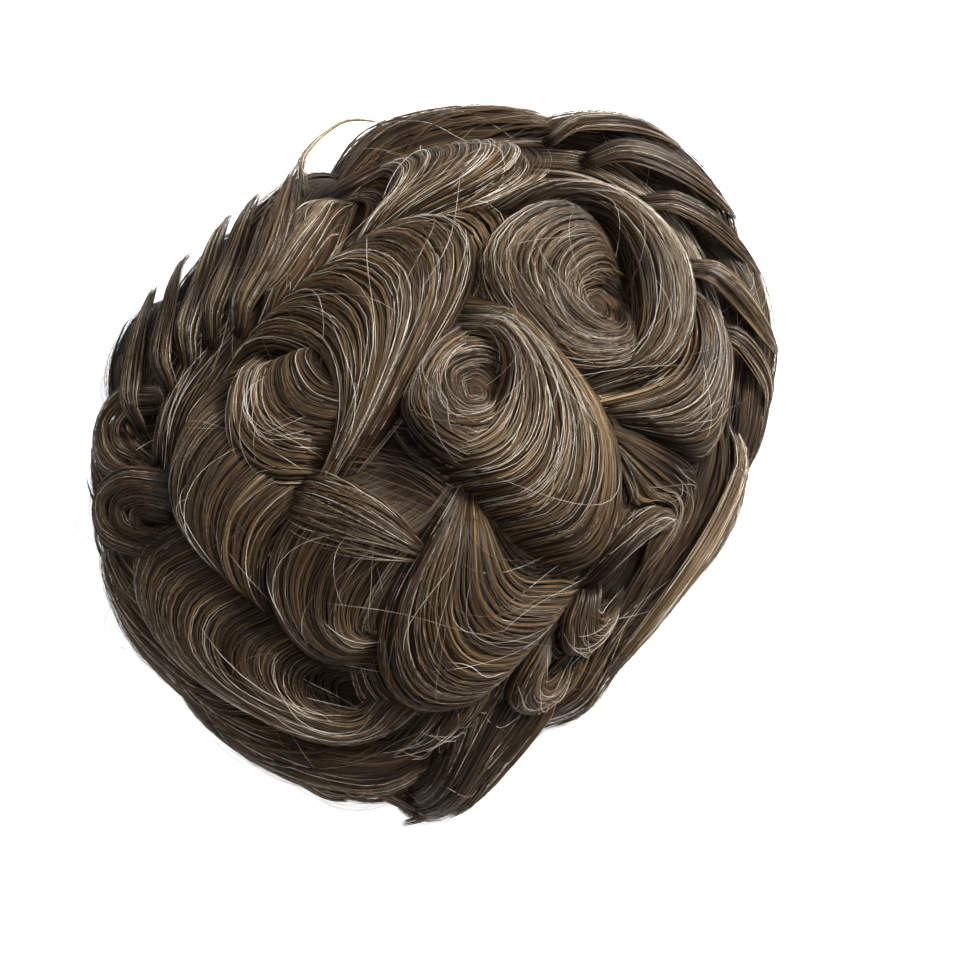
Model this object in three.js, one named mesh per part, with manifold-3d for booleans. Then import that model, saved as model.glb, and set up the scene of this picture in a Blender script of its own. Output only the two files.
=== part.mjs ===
// A toupee: a thin domed base cap that follows the crown of the head, and the hair that is knotted to it, in
// six zones. A zone is its share of the short under layer with its styled locks rooted in it. The locks of
// the four outer zones hang over the cap's edge to the table.
// Millimetres, +Z up, +Y towards the forehead. The origin is the middle of the footprint, on the table.
import * as THREE from "three";
import Module from "manifold-3d";

const wasm = await Module();
wasm.setup();

// The base cap
const CAP_WIDTH = 176;
const CAP_LENGTH = 226;
const CAP_RISE = 46;
const CAP_WALL = 1.2;
const EDGE_HEIGHT = 10;

// The hair
const UNDER_DEPTH = 6;
const ROOT_LIFT = 3;
const HAIR_DEPTH = 24;
const LOCK_EDGE = 1.6;

// Where the zones meet: the reach of the two upper zones, and the line between them
const TOP_REACH = 0.78;
const CROWN_LINE = -24;

// Clearances between the cap and the hair, and between two zones or two locks side by side
const LAYER_GAP = 0.3;
const LOCK_GAP = 0.4;

// How finely the surfaces are divided, and how far a needless corner may lie from the face it is merged into
const CAP_SPOKES = 24;
const CAP_RINGS = 5;
const LOCK_STRIPS = 5;
const STATIONS_PER_ROW = 1.05;
const TRIM = 0.01;

// The rounding of a lock across its width: 2 is a half ellipse, and more is squarer
const LOCK_ROUNDING = 2.4;
const RIM_CREST_AT = 0.42;
const RIM_SKIRT = 0.8;

const halfWidth = CAP_WIDTH / 2;
const halfLength = CAP_LENGTH / 2;
const dropPerReach = (CAP_RISE * Math.PI) / 2;
const tableReach = 1 + EDGE_HEIGHT / dropPerReach;

// A point over the cap. across and along are shares of the way from the crown to the cap's edge, towards
// the wearer's side and forehead. Their length is the reach: 1 is the edge, and past it the surface drops
// straight down. lift is the height above the cap, square to it.
function overCap(across, along, lift) {
  const reach = Math.hypot(across, along);
  const turn = (Math.min(reach, 1) * Math.PI) / 2;
  const bearing = Math.atan2(along, across);
  const point = new THREE.Vector3(
    halfWidth * Math.sin(turn) * Math.cos(bearing),
    halfLength * Math.sin(turn) * Math.sin(bearing),
    CAP_RISE * Math.cos(turn),
  );
  const outward = new THREE.Vector3(
    point.x / halfWidth ** 2,
    point.y / halfLength ** 2,
    point.z / CAP_RISE ** 2,
  ).normalize();
  point.z += EDGE_HEIGHT - Math.max(reach - 1, 0) * dropPerReach;
  return point.addScaledVector(outward, lift);
}

// A closed indexed geometry, with its faces turned to point outwards.
function closedGeometry(points, triangles) {
  let volume = 0;
  for (const [a, b, c] of triangles) {
    volume += points[a].dot(new THREE.Vector3().crossVectors(points[b], points[c]));
  }
  const geometry = new THREE.BufferGeometry().setFromPoints(points);
  geometry.setIndex(triangles.flatMap(([a, b, c]) => (volume > 0 ? [a, b, c] : [a, c, b])));
  geometry.computeVertexNormals();
  return geometry;
}

// A shell over the cap between two lifts, out to a reach, closed by a flat ring at its edge.
function shellGeometry(innerLift, outerLift, edgeReach) {
  const points = [];
  const triangles = [];
  const layers = [outerLift, innerLift].map((lift) => {
    const first = points.length;
    points.push(overCap(0, 0, lift));
    for (let ring = 1; ring <= CAP_RINGS; ring += 1) {
      for (let spoke = 0; spoke < CAP_SPOKES; spoke += 1) {
        const bearing = (spoke / CAP_SPOKES) * 2 * Math.PI;
        const reach = (edgeReach * ring) / CAP_RINGS;
        points.push(overCap(reach * Math.cos(bearing), reach * Math.sin(bearing), lift));
      }
    }
    return (ring, spoke) => (ring === 0 ? first : first + 1 + (ring - 1) * CAP_SPOKES + (spoke % CAP_SPOKES));
  });
  const [outer, inner] = layers;
  for (let spoke = 0; spoke < CAP_SPOKES; spoke += 1) {
    for (let ring = 0; ring < CAP_RINGS; ring += 1) {
      if (ring > 0) {
        triangles.push([outer(ring, spoke), outer(ring + 1, spoke + 1), outer(ring, spoke + 1)]);
        triangles.push([inner(ring, spoke), inner(ring, spoke + 1), inner(ring + 1, spoke + 1)]);
      }
      triangles.push([outer(ring, spoke), outer(ring + 1, spoke), outer(ring + 1, spoke + 1)]);
      triangles.push([inner(ring, spoke), inner(ring + 1, spoke + 1), inner(ring + 1, spoke)]);
    }
    triangles.push([outer(CAP_RINGS, spoke), inner(CAP_RINGS, spoke), outer(CAP_RINGS, spoke + 1)]);
    triangles.push([inner(CAP_RINGS, spoke), inner(CAP_RINGS, spoke + 1), outer(CAP_RINGS, spoke + 1)]);
  }
  return closedGeometry(points, triangles);
}

// The locks of the two upper zones, from the topmost to the lowest. Each has a row for each section, from its
// roots to its tip: the places of its outer and its inner edge, in shares as overCap takes them, and the
// height of its crest above the cap as a share of HAIR_DEPTH.
const CROWN_COLUMNS = ["outerAcross", "outerAlong", "innerAcross", "innerAlong", "crest"];
const topLocks = {
  left_swirl: [
    [-0.39, 0.2, -0.49, -0.2, 0.5],
    [-0.32, 0.29, -0.455, -0.13, 0.72],
    [-0.23, 0.325, -0.38, -0.09, 0.86],
    [-0.14, 0.29, -0.28, -0.075, 0.92],
    [-0.08, 0.2, -0.2, -0.1, 0.92],
    [-0.055, 0.07, -0.135, -0.15, 0.88],
    [-0.035, -0.07, -0.1, -0.21, 0.78],
    [-0.04, -0.2, -0.1, -0.28, 0.55],
  ],
  left_swirl_bowl: [
    [-0.43, -0.13, -0.33, -0.1, 0.62],
    [-0.41, -0.21, -0.3, -0.12, 0.72],
    [-0.345, -0.285, -0.265, -0.135, 0.76],
    [-0.26, -0.315, -0.23, -0.14, 0.76],
    [-0.17, -0.305, -0.19, -0.135, 0.72],
    [-0.095, -0.26, -0.15, -0.12, 0.62],
  ],
  right_swirl: [
    [-0.2, 0.42, -0.06, 0.47, 0.55],
    [-0.15, 0.5, -0.01, 0.495, 0.72],
    [-0.06, 0.565, 0.05, 0.515, 0.84],
    [0.05, 0.61, 0.1, 0.505, 0.92],
    [0.19, 0.615, 0.16, 0.47, 0.97],
    [0.31, 0.575, 0.215, 0.42, 0.97],
    [0.39, 0.49, 0.26, 0.37, 0.93],
    [0.42, 0.39, 0.285, 0.32, 0.86],
    [0.39, 0.3, 0.285, 0.27, 0.76],
    [0.32, 0.22, 0.26, 0.235, 0.55],
  ],
  right_swirl_bowl: [
    [0.04, 0.53, 0.19, 0.43, 0.7],
    [-0.08, 0.49, 0.15, 0.415, 0.76],
    [-0.13, 0.38, 0.13, 0.38, 0.8],
    [-0.12, 0.28, 0.135, 0.345, 0.8],
    [-0.04, 0.215, 0.165, 0.32, 0.78],
    [0.1, 0.185, 0.2, 0.32, 0.76],
    [0.23, 0.2, 0.225, 0.335, 0.74],
    [0.31, 0.265, 0.24, 0.36, 0.68],
  ],
  crown_bowl: [
    [-0.065, 0.14, 0.03, 0.12, 0.6],
    [-0.07, 0.04, 0.025, 0.07, 0.8],
    [-0.04, -0.05, 0.05, 0.035, 0.84],
    [0.05, -0.085, 0.08, 0.03, 0.84],
    [0.16, -0.08, 0.11, 0.04, 0.8],
    [0.25, -0.05, 0.14, 0.06, 0.6],
  ],
  crown_swirl: [
    [-0.075, 0.205, -0.045, 0.13, 0.55],
    [0.04, 0.225, 0.03, 0.155, 0.76],
    [0.18, 0.205, 0.08, 0.13, 0.9],
    [0.305, 0.18, 0.105, 0.085, 0.97],
    [0.42, 0.135, 0.11, 0.04, 1],
    [0.5, 0.07, 0.1, 0, 1],
    [0.55, 0, 0.07, -0.03, 0.96],
    [0.56, -0.06, 0.03, -0.05, 0.88],
    [0.53, -0.115, -0.03, -0.075, 0.66],
  ],
  right_lower_wave: [
    [0.35, 0.585, 0.32, 0.555, 0.6],
    [0.46, 0.555, 0.375, 0.5, 0.76],
    [0.55, 0.505, 0.415, 0.44, 0.86],
    [0.615, 0.42, 0.43, 0.38, 0.88],
    [0.655, 0.355, 0.42, 0.32, 0.86],
    [0.67, 0.3, 0.385, 0.265, 0.8],
    [0.64, 0.26, 0.34, 0.215, 0.7],
    [0.56, 0.235, 0.31, 0.185, 0.52],
  ],
  front_left_roll: [
    [-0.31, 0.66, -0.575, 0.31, 0.55],
    [-0.235, 0.6, -0.52, 0.345, 0.76],
    [-0.21, 0.52, -0.455, 0.34, 0.84],
    [-0.23, 0.43, -0.42, 0.295, 0.8],
    [-0.28, 0.345, -0.415, 0.245, 0.7],
    [-0.345, 0.26, -0.42, 0.19, 0.5],
  ],
  front_left_twist: [
    [-0.6, 0.27, -0.53, 0.28, 0.5],
    [-0.59, 0.19, -0.49, 0.21, 0.78],
    [-0.565, 0.12, -0.455, 0.14, 0.82],
    [-0.53, 0.05, -0.44, 0.06, 0.74],
    [-0.51, -0.03, -0.455, -0.03, 0.5],
  ],
  small_curl: [
    [0.56, -0.12, 0.62, -0.1, 0.5],
    [0.55, -0.04, 0.61, -0.03, 0.72],
    [0.56, 0.035, 0.61, 0.02, 0.8],
    [0.59, 0.1, 0.635, 0.06, 0.8],
    [0.645, 0.13, 0.66, 0.08, 0.72],
    [0.695, 0.125, 0.68, 0.08, 0.5],
  ],
  front_valley_lock: [
    [-0.25, 0.74, -0.17, 0.58, 0.42],
    [-0.08, 0.78, -0.04, 0.62, 0.5],
    [0.12, 0.77, 0.12, 0.66, 0.52],
    [0.3, 0.72, 0.28, 0.63, 0.52],
    [0.46, 0.64, 0.42, 0.58, 0.5],
    [0.58, 0.54, 0.53, 0.52, 0.48],
    [0.66, 0.44, 0.62, 0.43, 0.42],
  ],
  right_under_wave: [
    [0.38, 0.175, 0.42, 0.14, 0.42],
    [0.5, 0.215, 0.5, 0.1, 0.52],
    [0.62, 0.25, 0.555, 0.08, 0.56],
    [0.71, 0.24, 0.585, 0.11, 0.56],
    [0.755, 0.14, 0.66, 0.14, 0.52],
    [0.76, 0.01, 0.71, 0.04, 0.42],
  ],
};
const crownLocks = {
  lower_crescent: [
    [0.165, -0.115, 0.235, -0.105, 0.6],
    [0.175, -0.22, 0.29, -0.13, 0.8],
    [0.19, -0.33, 0.345, -0.155, 0.9],
    [0.235, -0.43, 0.39, -0.17, 0.93],
    [0.315, -0.505, 0.44, -0.17, 0.93],
    [0.41, -0.53, 0.48, -0.15, 0.9],
    [0.505, -0.49, 0.525, -0.125, 0.84],
    [0.56, -0.41, 0.57, -0.11, 0.7],
  ],
  left_crescent: [
    [-0.03, -0.18, 0.17, -0.19, 0.62],
    [-0.08, -0.245, 0.15, -0.26, 0.76],
    [-0.105, -0.32, 0.14, -0.315, 0.82],
    [-0.095, -0.405, 0.145, -0.37, 0.82],
    [-0.045, -0.475, 0.16, -0.41, 0.8],
    [0.04, -0.525, 0.185, -0.435, 0.76],
    [0.145, -0.54, 0.215, -0.435, 0.7],
    [0.24, -0.51, 0.24, -0.42, 0.55],
  ],
  back_left_wave: [
    [-0.435, -0.505, 0.19, -0.54, 0.5],
    [-0.475, -0.6, 0.165, -0.57, 0.66],
    [-0.455, -0.7, 0.17, -0.6, 0.72],
    [-0.36, -0.765, 0.195, -0.625, 0.72],
    [-0.2, -0.79, 0.225, -0.64, 0.68],
    [0, -0.775, 0.255, -0.645, 0.66],
    [0.18, -0.765, 0.28, -0.635, 0.64],
    [0.33, -0.72, 0.305, -0.62, 0.64],
    [0.42, -0.63, 0.32, -0.6, 0.6],
    [0.455, -0.54, 0.325, -0.575, 0.48],
  ],
  left_band: [
    [-0.5, -0.2, -0.04, -0.27, 0.55],
    [-0.495, -0.295, -0.07, -0.335, 0.74],
    [-0.475, -0.37, -0.08, -0.39, 0.8],
    [-0.435, -0.44, -0.06, -0.45, 0.76],
    [-0.365, -0.49, -0.025, -0.495, 0.62],
    [-0.26, -0.515, 0.01, -0.525, 0.45],
  ],
  right_pocket_bowl: [
    [0.585, -0.13, 0.63, -0.08, 0.45],
    [0.6, -0.2, 0.65, -0.11, 0.58],
    [0.66, -0.25, 0.68, -0.13, 0.6],
    [0.73, -0.24, 0.71, -0.12, 0.58],
    [0.775, -0.17, 0.735, -0.08, 0.45],
  ],
  right_bump: [
    [0.59, -0.24, 0.65, -0.27, 0.45],
    [0.585, -0.33, 0.655, -0.31, 0.62],
    [0.62, -0.41, 0.68, -0.33, 0.66],
    [0.69, -0.435, 0.71, -0.325, 0.66],
    [0.75, -0.4, 0.73, -0.3, 0.6],
    [0.78, -0.32, 0.74, -0.27, 0.45],
  ],
  left_valley_lock: [
    [-0.68, 0.06, -0.52, 0.04, 0.42],
    [-0.71, -0.08, -0.5, -0.08, 0.52],
    [-0.7, -0.21, -0.5, -0.19, 0.52],
    [-0.66, -0.34, -0.5, -0.3, 0.5],
    [-0.6, -0.46, -0.47, -0.41, 0.42],
  ],
  back_right_valley: [
    [0.46, -0.55, 0.6, -0.4, 0.42],
    [0.46, -0.64, 0.62, -0.48, 0.48],
    [0.45, -0.73, 0.62, -0.56, 0.48],
    [0.43, -0.8, 0.6, -0.62, 0.42],
  ],
};

// The locks of the four outer zones, from the topmost to the lowest. They hang over the cap's edge to the
// table. Each row gives the bearing of the section at the table and at its top edge, in degrees from +X
// towards +Y, the reach of that top edge, and the crest as above.
const RIM_COLUMNS = ["tableBearing", "topBearing", "topReach", "crest"];
const backLocks = {
  back_tuft: [
    [-30, -26, 0.72, 0.4],
    [-36, -33, 0.74, 0.62],
    [-43, -40, 0.78, 1],
    [-49, -46, 0.84, 1.25],
    [-54, -51, 0.92, 1.15],
    [-57, -55, 0.98, 0.8],
  ],
  back_rim: [
    [-46, -48, 0.84, 0.5],
    [-56, -58, 0.82, 0.8],
    [-66, -68, 0.82, 0.72],
    [-76, -78, 0.82, 0.6],
    [-86, -88, 0.82, 0.52],
    [-96, -96, 0.84, 0.46],
    [-102, -101, 0.86, 0.38],
  ],
};
const frontLocks = {
  front_rim_left: [
    [156, 150, 0.8, 0.45],
    [146, 141, 0.8, 0.84],
    [136, 132, 0.8, 0.88],
    [124, 122, 0.8, 0.84],
    [112, 112, 0.82, 0.76],
    [104, 104, 0.86, 0.5],
  ],
  front_rim_right: [
    [120, 116, 0.82, 0.45],
    [108, 106, 0.8, 0.95],
    [98, 96, 0.8, 1.15],
    [88, 87, 0.8, 1.22],
    [78, 78, 0.8, 1.18],
    [68, 70, 0.82, 1.05],
    [61, 64, 0.86, 0.7],
  ],
  right_front_rim: [
    [72, 70, 0.82, 0.6],
    [64, 63, 0.8, 1.02],
    [56, 56, 0.8, 1.06],
    [48, 49, 0.8, 0.95],
    [42, 44, 0.84, 0.6],
  ],
};
const rightLocks = {
  right_rim: [
    [56, 53, 0.8, 0.6],
    [48, 47, 0.8, 1.05],
    [40, 40, 0.8, 0.96],
    [31, 32, 0.8, 0.88],
    [24, 25, 0.82, 0.7],
    [19, 21, 0.85, 0.45],
  ],
  right_rim_rope: [
    [34, 32, 0.78, 0.45],
    [24, 23, 0.77, 0.68],
    [14, 13, 0.76, 0.68],
    [4, 3, 0.76, 0.52],
    [-6, -6, 0.77, 0.42],
    [-15, -14, 0.78, 0.4],
    [-22, -21, 0.8, 0.36],
  ],
  right_back_rim: [
    [-8, -9, 0.8, 0.38],
    [-16, -16, 0.8, 0.55],
    [-22, -22, 0.8, 0.62],
    [-29, -28, 0.8, 0.45],
    [-35, -34, 0.82, 0.38],
  ],
};
const leftLocks = {
  left_rim_loop: [
    [-124, -122, 0.76, 0.6],
    [-131, -130, 0.74, 0.88],
    [-139, -138, 0.74, 0.95],
    [-147, -147, 0.76, 1],
    [-154, -155, 0.8, 0.7],
  ],
  left_rim: [
    [-148, -150, 0.8, 0.6],
    [-156, -157, 0.76, 1.08],
    [-163, -164, 0.74, 1.18],
    [-169, -170, 0.76, 1.1],
    [-174, -176, 0.82, 0.7],
  ],
  left_back_rim: [
    [-96, -98, 0.82, 0.4],
    [-104, -105, 0.82, 0.48],
    [-112, -112, 0.8, 0.6],
    [-120, -119, 0.78, 0.68],
    [-128, -126, 0.78, 0.72],
    [-133, -131, 0.8, 0.5],
  ],
  left_front_lock: [
    [-166, -168, 0.76, 0.6],
    [-173, -174, 0.72, 0.9],
    [-180, -180, 0.72, 0.92],
    [-187, -186, 0.74, 0.88],
    [-193, -191, 0.8, 0.6],
  ],
  left_front_twist: [
    [-185, -184, 0.72, 0.55],
    [-191, -190, 0.68, 0.85],
    [-198, -197, 0.68, 0.9],
    [-205, -203, 0.72, 0.85],
    [-211, -208, 0.8, 0.55],
  ],
};

// Names a row's numbers by their columns.
function named(columns, row) {
  return Object.fromEntries(columns.map((column, index) => [column, row[index]]));
}

// A lock's two edges as smooth curves through its rows. The third number of the outer curve is the crest.
function edgeCurves(outerPoints, innerPoints) {
  return [outerPoints, innerPoints].map((points) => new THREE.CatmullRomCurve3(points, false, "catmullrom"));
}

function crownLock(rows) {
  const sections = rows.map((row) => named(CROWN_COLUMNS, row));
  const [outer, inner] = edgeCurves(
    sections.map((s) => new THREE.Vector3(s.outerAcross, s.outerAlong, s.crest)),
    sections.map((s) => new THREE.Vector3(s.innerAcross, s.innerAlong, 0)),
  );
  return { outer, inner, rows: rows.length, place: (edge) => [edge.x, edge.y], crestAt: 0.5, skirt: 0 };
}

function rimLock(rows) {
  const sections = rows.map((row) => named(RIM_COLUMNS, row));
  const [outer, inner] = edgeCurves(
    sections.map((s) => new THREE.Vector3(s.tableBearing, tableReach, s.crest)),
    sections.map((s) => new THREE.Vector3(s.topBearing, s.topReach, 0)),
  );
  const place = (edge) => {
    const bearing = THREE.MathUtils.degToRad(edge.x);
    return [edge.y * Math.cos(bearing), edge.y * Math.sin(bearing)];
  };
  return { outer, inner, rows: rows.length, place, crestAt: RIM_CREST_AT, skirt: RIM_SKIRT };
}

// The share of the crest's height at a share of the way across a lock. It is 1 at the crest, falls to 0 at
// the inner edge, and on the outer side falls to the skirt's share.
function roundness(share, crestAt, skirt) {
  const side = share < crestAt ? crestAt : 1 - crestAt;
  const away = Math.min(Math.abs(share - crestAt) / side, 1);
  const round = (1 - away ** LOCK_ROUNDING) ** (1 / LOCK_ROUNDING);
  return share < crestAt ? skirt + (1 - skirt) * round : round;
}

// A lock's solid: a top sheet that swells to the crest, a base sheet in the under layer, and walls between
// their edges. swell moves every face outwards, which makes the tool that clears what lies beneath.
function lockGeometry(lock, swell) {
  const stations = Math.round((lock.rows - 1) * STATIONS_PER_ROW);
  const edgeLift = UNDER_DEPTH + LOCK_EDGE;
  const points = [];
  const triangles = [];
  const at = (sheet, station, strip) => (sheet * (stations + 1) + station) * (LOCK_STRIPS + 1) + strip;
  for (const sheet of [0, 1]) {
    for (let station = 0; station <= stations; station += 1) {
      const outer = lock.outer.getPoint(station / stations);
      const [outerAcross, outerAlong] = lock.place(outer);
      const [innerAcross, innerAlong] = lock.place(lock.inner.getPoint(station / stations));
      for (let strip = 0; strip <= LOCK_STRIPS; strip += 1) {
        const share = strip / LOCK_STRIPS;
        const across = THREE.MathUtils.lerp(outerAcross, innerAcross, share);
        const along = THREE.MathUtils.lerp(outerAlong, innerAlong, share);
        const round = roundness(share, lock.crestAt, lock.skirt);
        const top = THREE.MathUtils.lerp(edgeLift, outer.z * HAIR_DEPTH, round);
        points.push(overCap(across, along, sheet === 0 ? top : ROOT_LIFT));
      }
    }
  }
  const quad = (a, b, c, d) => triangles.push([a, b, c], [a, c, d]);
  for (let k = 0; k < stations; k += 1) {
    for (let j = 0; j < LOCK_STRIPS; j += 1) {
      quad(at(0, k, j), at(0, k + 1, j), at(0, k + 1, j + 1), at(0, k, j + 1));
      quad(at(1, k, j), at(1, k, j + 1), at(1, k + 1, j + 1), at(1, k + 1, j));
    }
    quad(at(0, k, 0), at(1, k, 0), at(1, k + 1, 0), at(0, k + 1, 0));
    quad(at(0, k, LOCK_STRIPS), at(0, k + 1, LOCK_STRIPS), at(1, k + 1, LOCK_STRIPS), at(1, k, LOCK_STRIPS));
  }
  for (let j = 0; j < LOCK_STRIPS; j += 1) {
    quad(at(0, 0, j), at(0, 0, j + 1), at(1, 0, j + 1), at(1, 0, j));
    quad(at(0, stations, j), at(1, stations, j), at(1, stations, j + 1), at(0, stations, j + 1));
  }
  const geometry = closedGeometry(points, triangles);
  const { position, normal } = geometry.attributes;
  for (let i = 0; i < position.count; i += 1) {
    position.setXYZ(
      i,
      position.getX(i) + normal.getX(i) * swell,
      position.getY(i) + normal.getY(i) * swell,
      position.getZ(i) + normal.getZ(i) * swell,
    );
  }
  return geometry;
}

function toSolid(geometry) {
  const vertProperties = new Float32Array(geometry.attributes.position.array);
  const triVerts = new Uint32Array(geometry.index.array);
  return new wasm.Manifold(new wasm.Mesh({ numProp: 3, vertProperties, triVerts }));
}

function toGeometry(solid) {
  const mesh = solid.getMesh();
  const geometry = new THREE.BufferGeometry();
  geometry.setAttribute("position", new THREE.BufferAttribute(mesh.vertProperties, 3));
  geometry.setIndex(new THREE.BufferAttribute(mesh.triVerts, 1));
  geometry.computeVertexNormals();
  return geometry;
}

// The largest body of a solid: what a cut leaves beside it is a loose sliver.
function mainBody(solid) {
  const bodies = solid.decompose();
  return bodies.reduce((best, body) => (body.volume() > best.volume() ? body : best));
}

// The part of a solid between two bearings, clear of its neighbours by half a gap on each side.
function between(solid, fromBearing, toBearing) {
  const [from, to] = [fromBearing, toBearing].map(THREE.MathUtils.degToRad);
  const fromSide = [-halfLength * Math.sin(from), halfWidth * Math.cos(from), 0];
  const toSide = [halfLength * Math.sin(to), -halfWidth * Math.cos(to), 0];
  return solid.trimByPlane(fromSide, LOCK_GAP / 2).trimByPlane(toSide, LOCK_GAP / 2);
}

const toupee = new THREE.Group();

function addPiece(name, geometry, color, roughness) {
  const material = new THREE.MeshStandardMaterial({ color, roughness, metalness: 0 });
  const mesh = new THREE.Mesh(geometry, material);
  mesh.name = name;
  toupee.add(mesh);
}

addPiece("base_cap", shellGeometry(-CAP_WALL, 0, 1), 0xb9967c, 0.45);

// The under layer is shared out between the zones.
const under = toSolid(shellGeometry(LAYER_GAP, UNDER_DEPTH, 1));
const within = (reach) => toSolid(shellGeometry(-UNDER_DEPTH, 2 * UNDER_DEPTH, reach));
const upper = under.intersect(within(TOP_REACH));
const outer = under.subtract(within(TOP_REACH + LOCK_GAP / dropPerReach));
const topUnder = upper.trimByPlane([0, 1, 0], CROWN_LINE + LOCK_GAP / 2);
const crownUnder = upper.trimByPlane([0, -1, 0], LOCK_GAP / 2 - CROWN_LINE);
const zones = [
  { name: "top_hair", tables: topLocks, shape: crownLock, under: topUnder, color: 0x6b5238 },
  { name: "crown_hair", tables: crownLocks, shape: crownLock, under: crownUnder, color: 0x5f4831 },
  { name: "back_hair", tables: backLocks, shape: rimLock, under: between(outer, -100, -32), color: 0x4a3826 },
  { name: "front_hair", tables: frontLocks, shape: rimLock, under: between(outer, 45, 158), color: 0x57432d },
  { name: "right_side_hair", tables: rightLocks, shape: rimLock, under: between(outer, -32, 45), color: 0x644f38 },
  { name: "left_side_hair", tables: leftLocks, shape: rimLock, under: between(outer, 158, 260), color: 0x3f2f20 },
];

// The locks of a zone are one body. It is cleared of the locks of the zones before it, and each zone's under
// layer of all the other zones' locks, so that no two zones share space.
for (const zone of zones) {
  const locks = Object.values(zone.tables).map(zone.shape);
  zone.hair = locks.map((lock) => toSolid(lockGeometry(lock, 0))).reduce((sum, lock) => sum.add(lock));
  zone.clearance = locks.reduce((sum, lock) => sum.add(toSolid(lockGeometry(lock, LOCK_GAP))), zone.hair);
}
zones.forEach((zone, index) => {
  const others = zones.filter((other) => other !== zone);
  const seat = others.reduce((solid, other) => solid.subtract(other.clearance), zone.under);
  const hair = zones.slice(0, index).reduce((solid, above) => solid.subtract(above.clearance), zone.hair);
  addPiece(zone.name, toGeometry(mainBody(seat.add(hair).simplify(TRIM))), zone.color, 0.5);
});

// The footprint's middle goes to the origin.
const box = new THREE.Box3().setFromObject(toupee);
const middle = box.getCenter(new THREE.Vector3());
toupee.position.set(-middle.x, -middle.y, -box.min.z);

export default toupee;
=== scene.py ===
import bpy
import numpy as np
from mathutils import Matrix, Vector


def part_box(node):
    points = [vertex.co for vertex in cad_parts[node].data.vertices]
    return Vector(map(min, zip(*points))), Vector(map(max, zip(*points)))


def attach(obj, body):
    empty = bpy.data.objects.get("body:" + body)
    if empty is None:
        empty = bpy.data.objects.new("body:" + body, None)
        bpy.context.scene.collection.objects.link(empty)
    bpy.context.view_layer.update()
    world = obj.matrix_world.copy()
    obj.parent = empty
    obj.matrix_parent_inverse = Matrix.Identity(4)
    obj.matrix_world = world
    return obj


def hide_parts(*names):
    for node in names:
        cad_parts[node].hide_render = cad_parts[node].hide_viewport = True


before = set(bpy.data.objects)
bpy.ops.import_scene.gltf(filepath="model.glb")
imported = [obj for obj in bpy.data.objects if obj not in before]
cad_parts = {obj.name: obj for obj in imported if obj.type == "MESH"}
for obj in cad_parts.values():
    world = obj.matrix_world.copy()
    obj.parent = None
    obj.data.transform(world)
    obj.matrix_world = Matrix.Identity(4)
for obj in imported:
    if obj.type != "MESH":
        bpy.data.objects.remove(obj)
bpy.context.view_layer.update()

# The base cap is a thin polyurethane skin, moulded over a block in the shape of the crown of a head. The
# hair is knotted through it, so its inside shows rows of small dark knots and a plain band along the edge.
# Every surface of the hairpiece is placed over this cap, by the same formula as in the part's own source.
cap_low, cap_high = (np.array(corner) * 1000 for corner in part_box("base_cap"))
HALF_SIZES = (cap_high - cap_low) / [2, 2, 1]
CAP_FOOT = np.array([(cap_high[0] + cap_low[0]) / 2, (cap_high[1] + cap_low[1]) / 2, cap_low[2]])
CAP_WALL = 1.2
DROP_PER_REACH = HALF_SIZES[2] * np.pi / 2
TABLE_REACH = 1 + cap_low[2] / DROP_PER_REACH


def over_cap(across, along, lift):
    """Points over the cap, in millimetres. across and along are shares of the way from the crown to the
    edge, and their length is the reach. A quarter turn of an ellipse runs from the crown to reach 1, and
    past it the surface drops straight down. lift is the height above the cap, square to its ellipsoid."""
    reach = np.hypot(across, along)
    turn = np.minimum(reach, 1) * np.pi / 2
    bearing = np.arctan2(along, across)
    sine = np.sin(turn)
    unit = np.stack([sine * np.cos(bearing), sine * np.sin(bearing), np.cos(turn)], -1)
    outward = unit / HALF_SIZES
    outward /= np.linalg.norm(outward, axis=-1, keepdims=True)
    point = CAP_FOOT + unit * HALF_SIZES + outward * np.asarray(lift)[..., None]
    point[..., 2] -= np.maximum(reach - 1, 0) * DROP_PER_REACH
    return point


def mesh_object(name, points, faces, **values):
    """An object from arrays: points in millimetres, faces as arrays of corners, three or four to a face, and
    one value a point for each named attribute, a number or a vector."""
    mesh = bpy.data.meshes.new(name)
    corners = np.concatenate([face.ravel() for face in faces]).astype(np.int32)
    sizes = np.concatenate([np.full(len(face), face.shape[1]) for face in faces])
    mesh.vertices.add(len(points))
    mesh.vertices.foreach_set("co", (points * 0.001).astype(np.float32).ravel())
    mesh.loops.add(len(corners))
    mesh.loops.foreach_set("vertex_index", corners)
    mesh.polygons.add(len(sizes))
    mesh.polygons.foreach_set("loop_start", (np.cumsum(sizes) - sizes).astype(np.int32))
    mesh.polygons.foreach_set("use_smooth", np.ones(len(sizes), bool))
    mesh.update(calc_edges=True)
    for key, value in values.items():
        kind, field = ("FLOAT", "value") if value.ndim == 1 else ("FLOAT_VECTOR", "vector")
        attribute = mesh.attributes.new(key, kind, "POINT")
        attribute.data.foreach_set(field, value.astype(np.float32).ravel())
    piece = bpy.data.objects.new(name, mesh)
    bpy.context.scene.collection.objects.link(piece)
    return piece


def ring_faces(stations, around):
    """Faces round a closed tube of rings: four corners between two rings, each ring closed on itself."""
    place = np.arange(around)
    start = np.arange(stations - 1)[:, None] * around
    here = start + place
    after = start + (place + 1) % around
    return np.stack([here, here + around, after + around, after], -1).reshape(-1, 4)


def linear(code):
    """An sRGB hex colour as linear red, green, blue and alpha."""
    part = np.array([int(code[k : k + 2], 16) for k in (1, 3, 5)]) / 255
    return (*np.where(part <= 0.04045, part / 12.92, ((part + 0.055) / 1.055) ** 2.4), 1.0)


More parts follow.
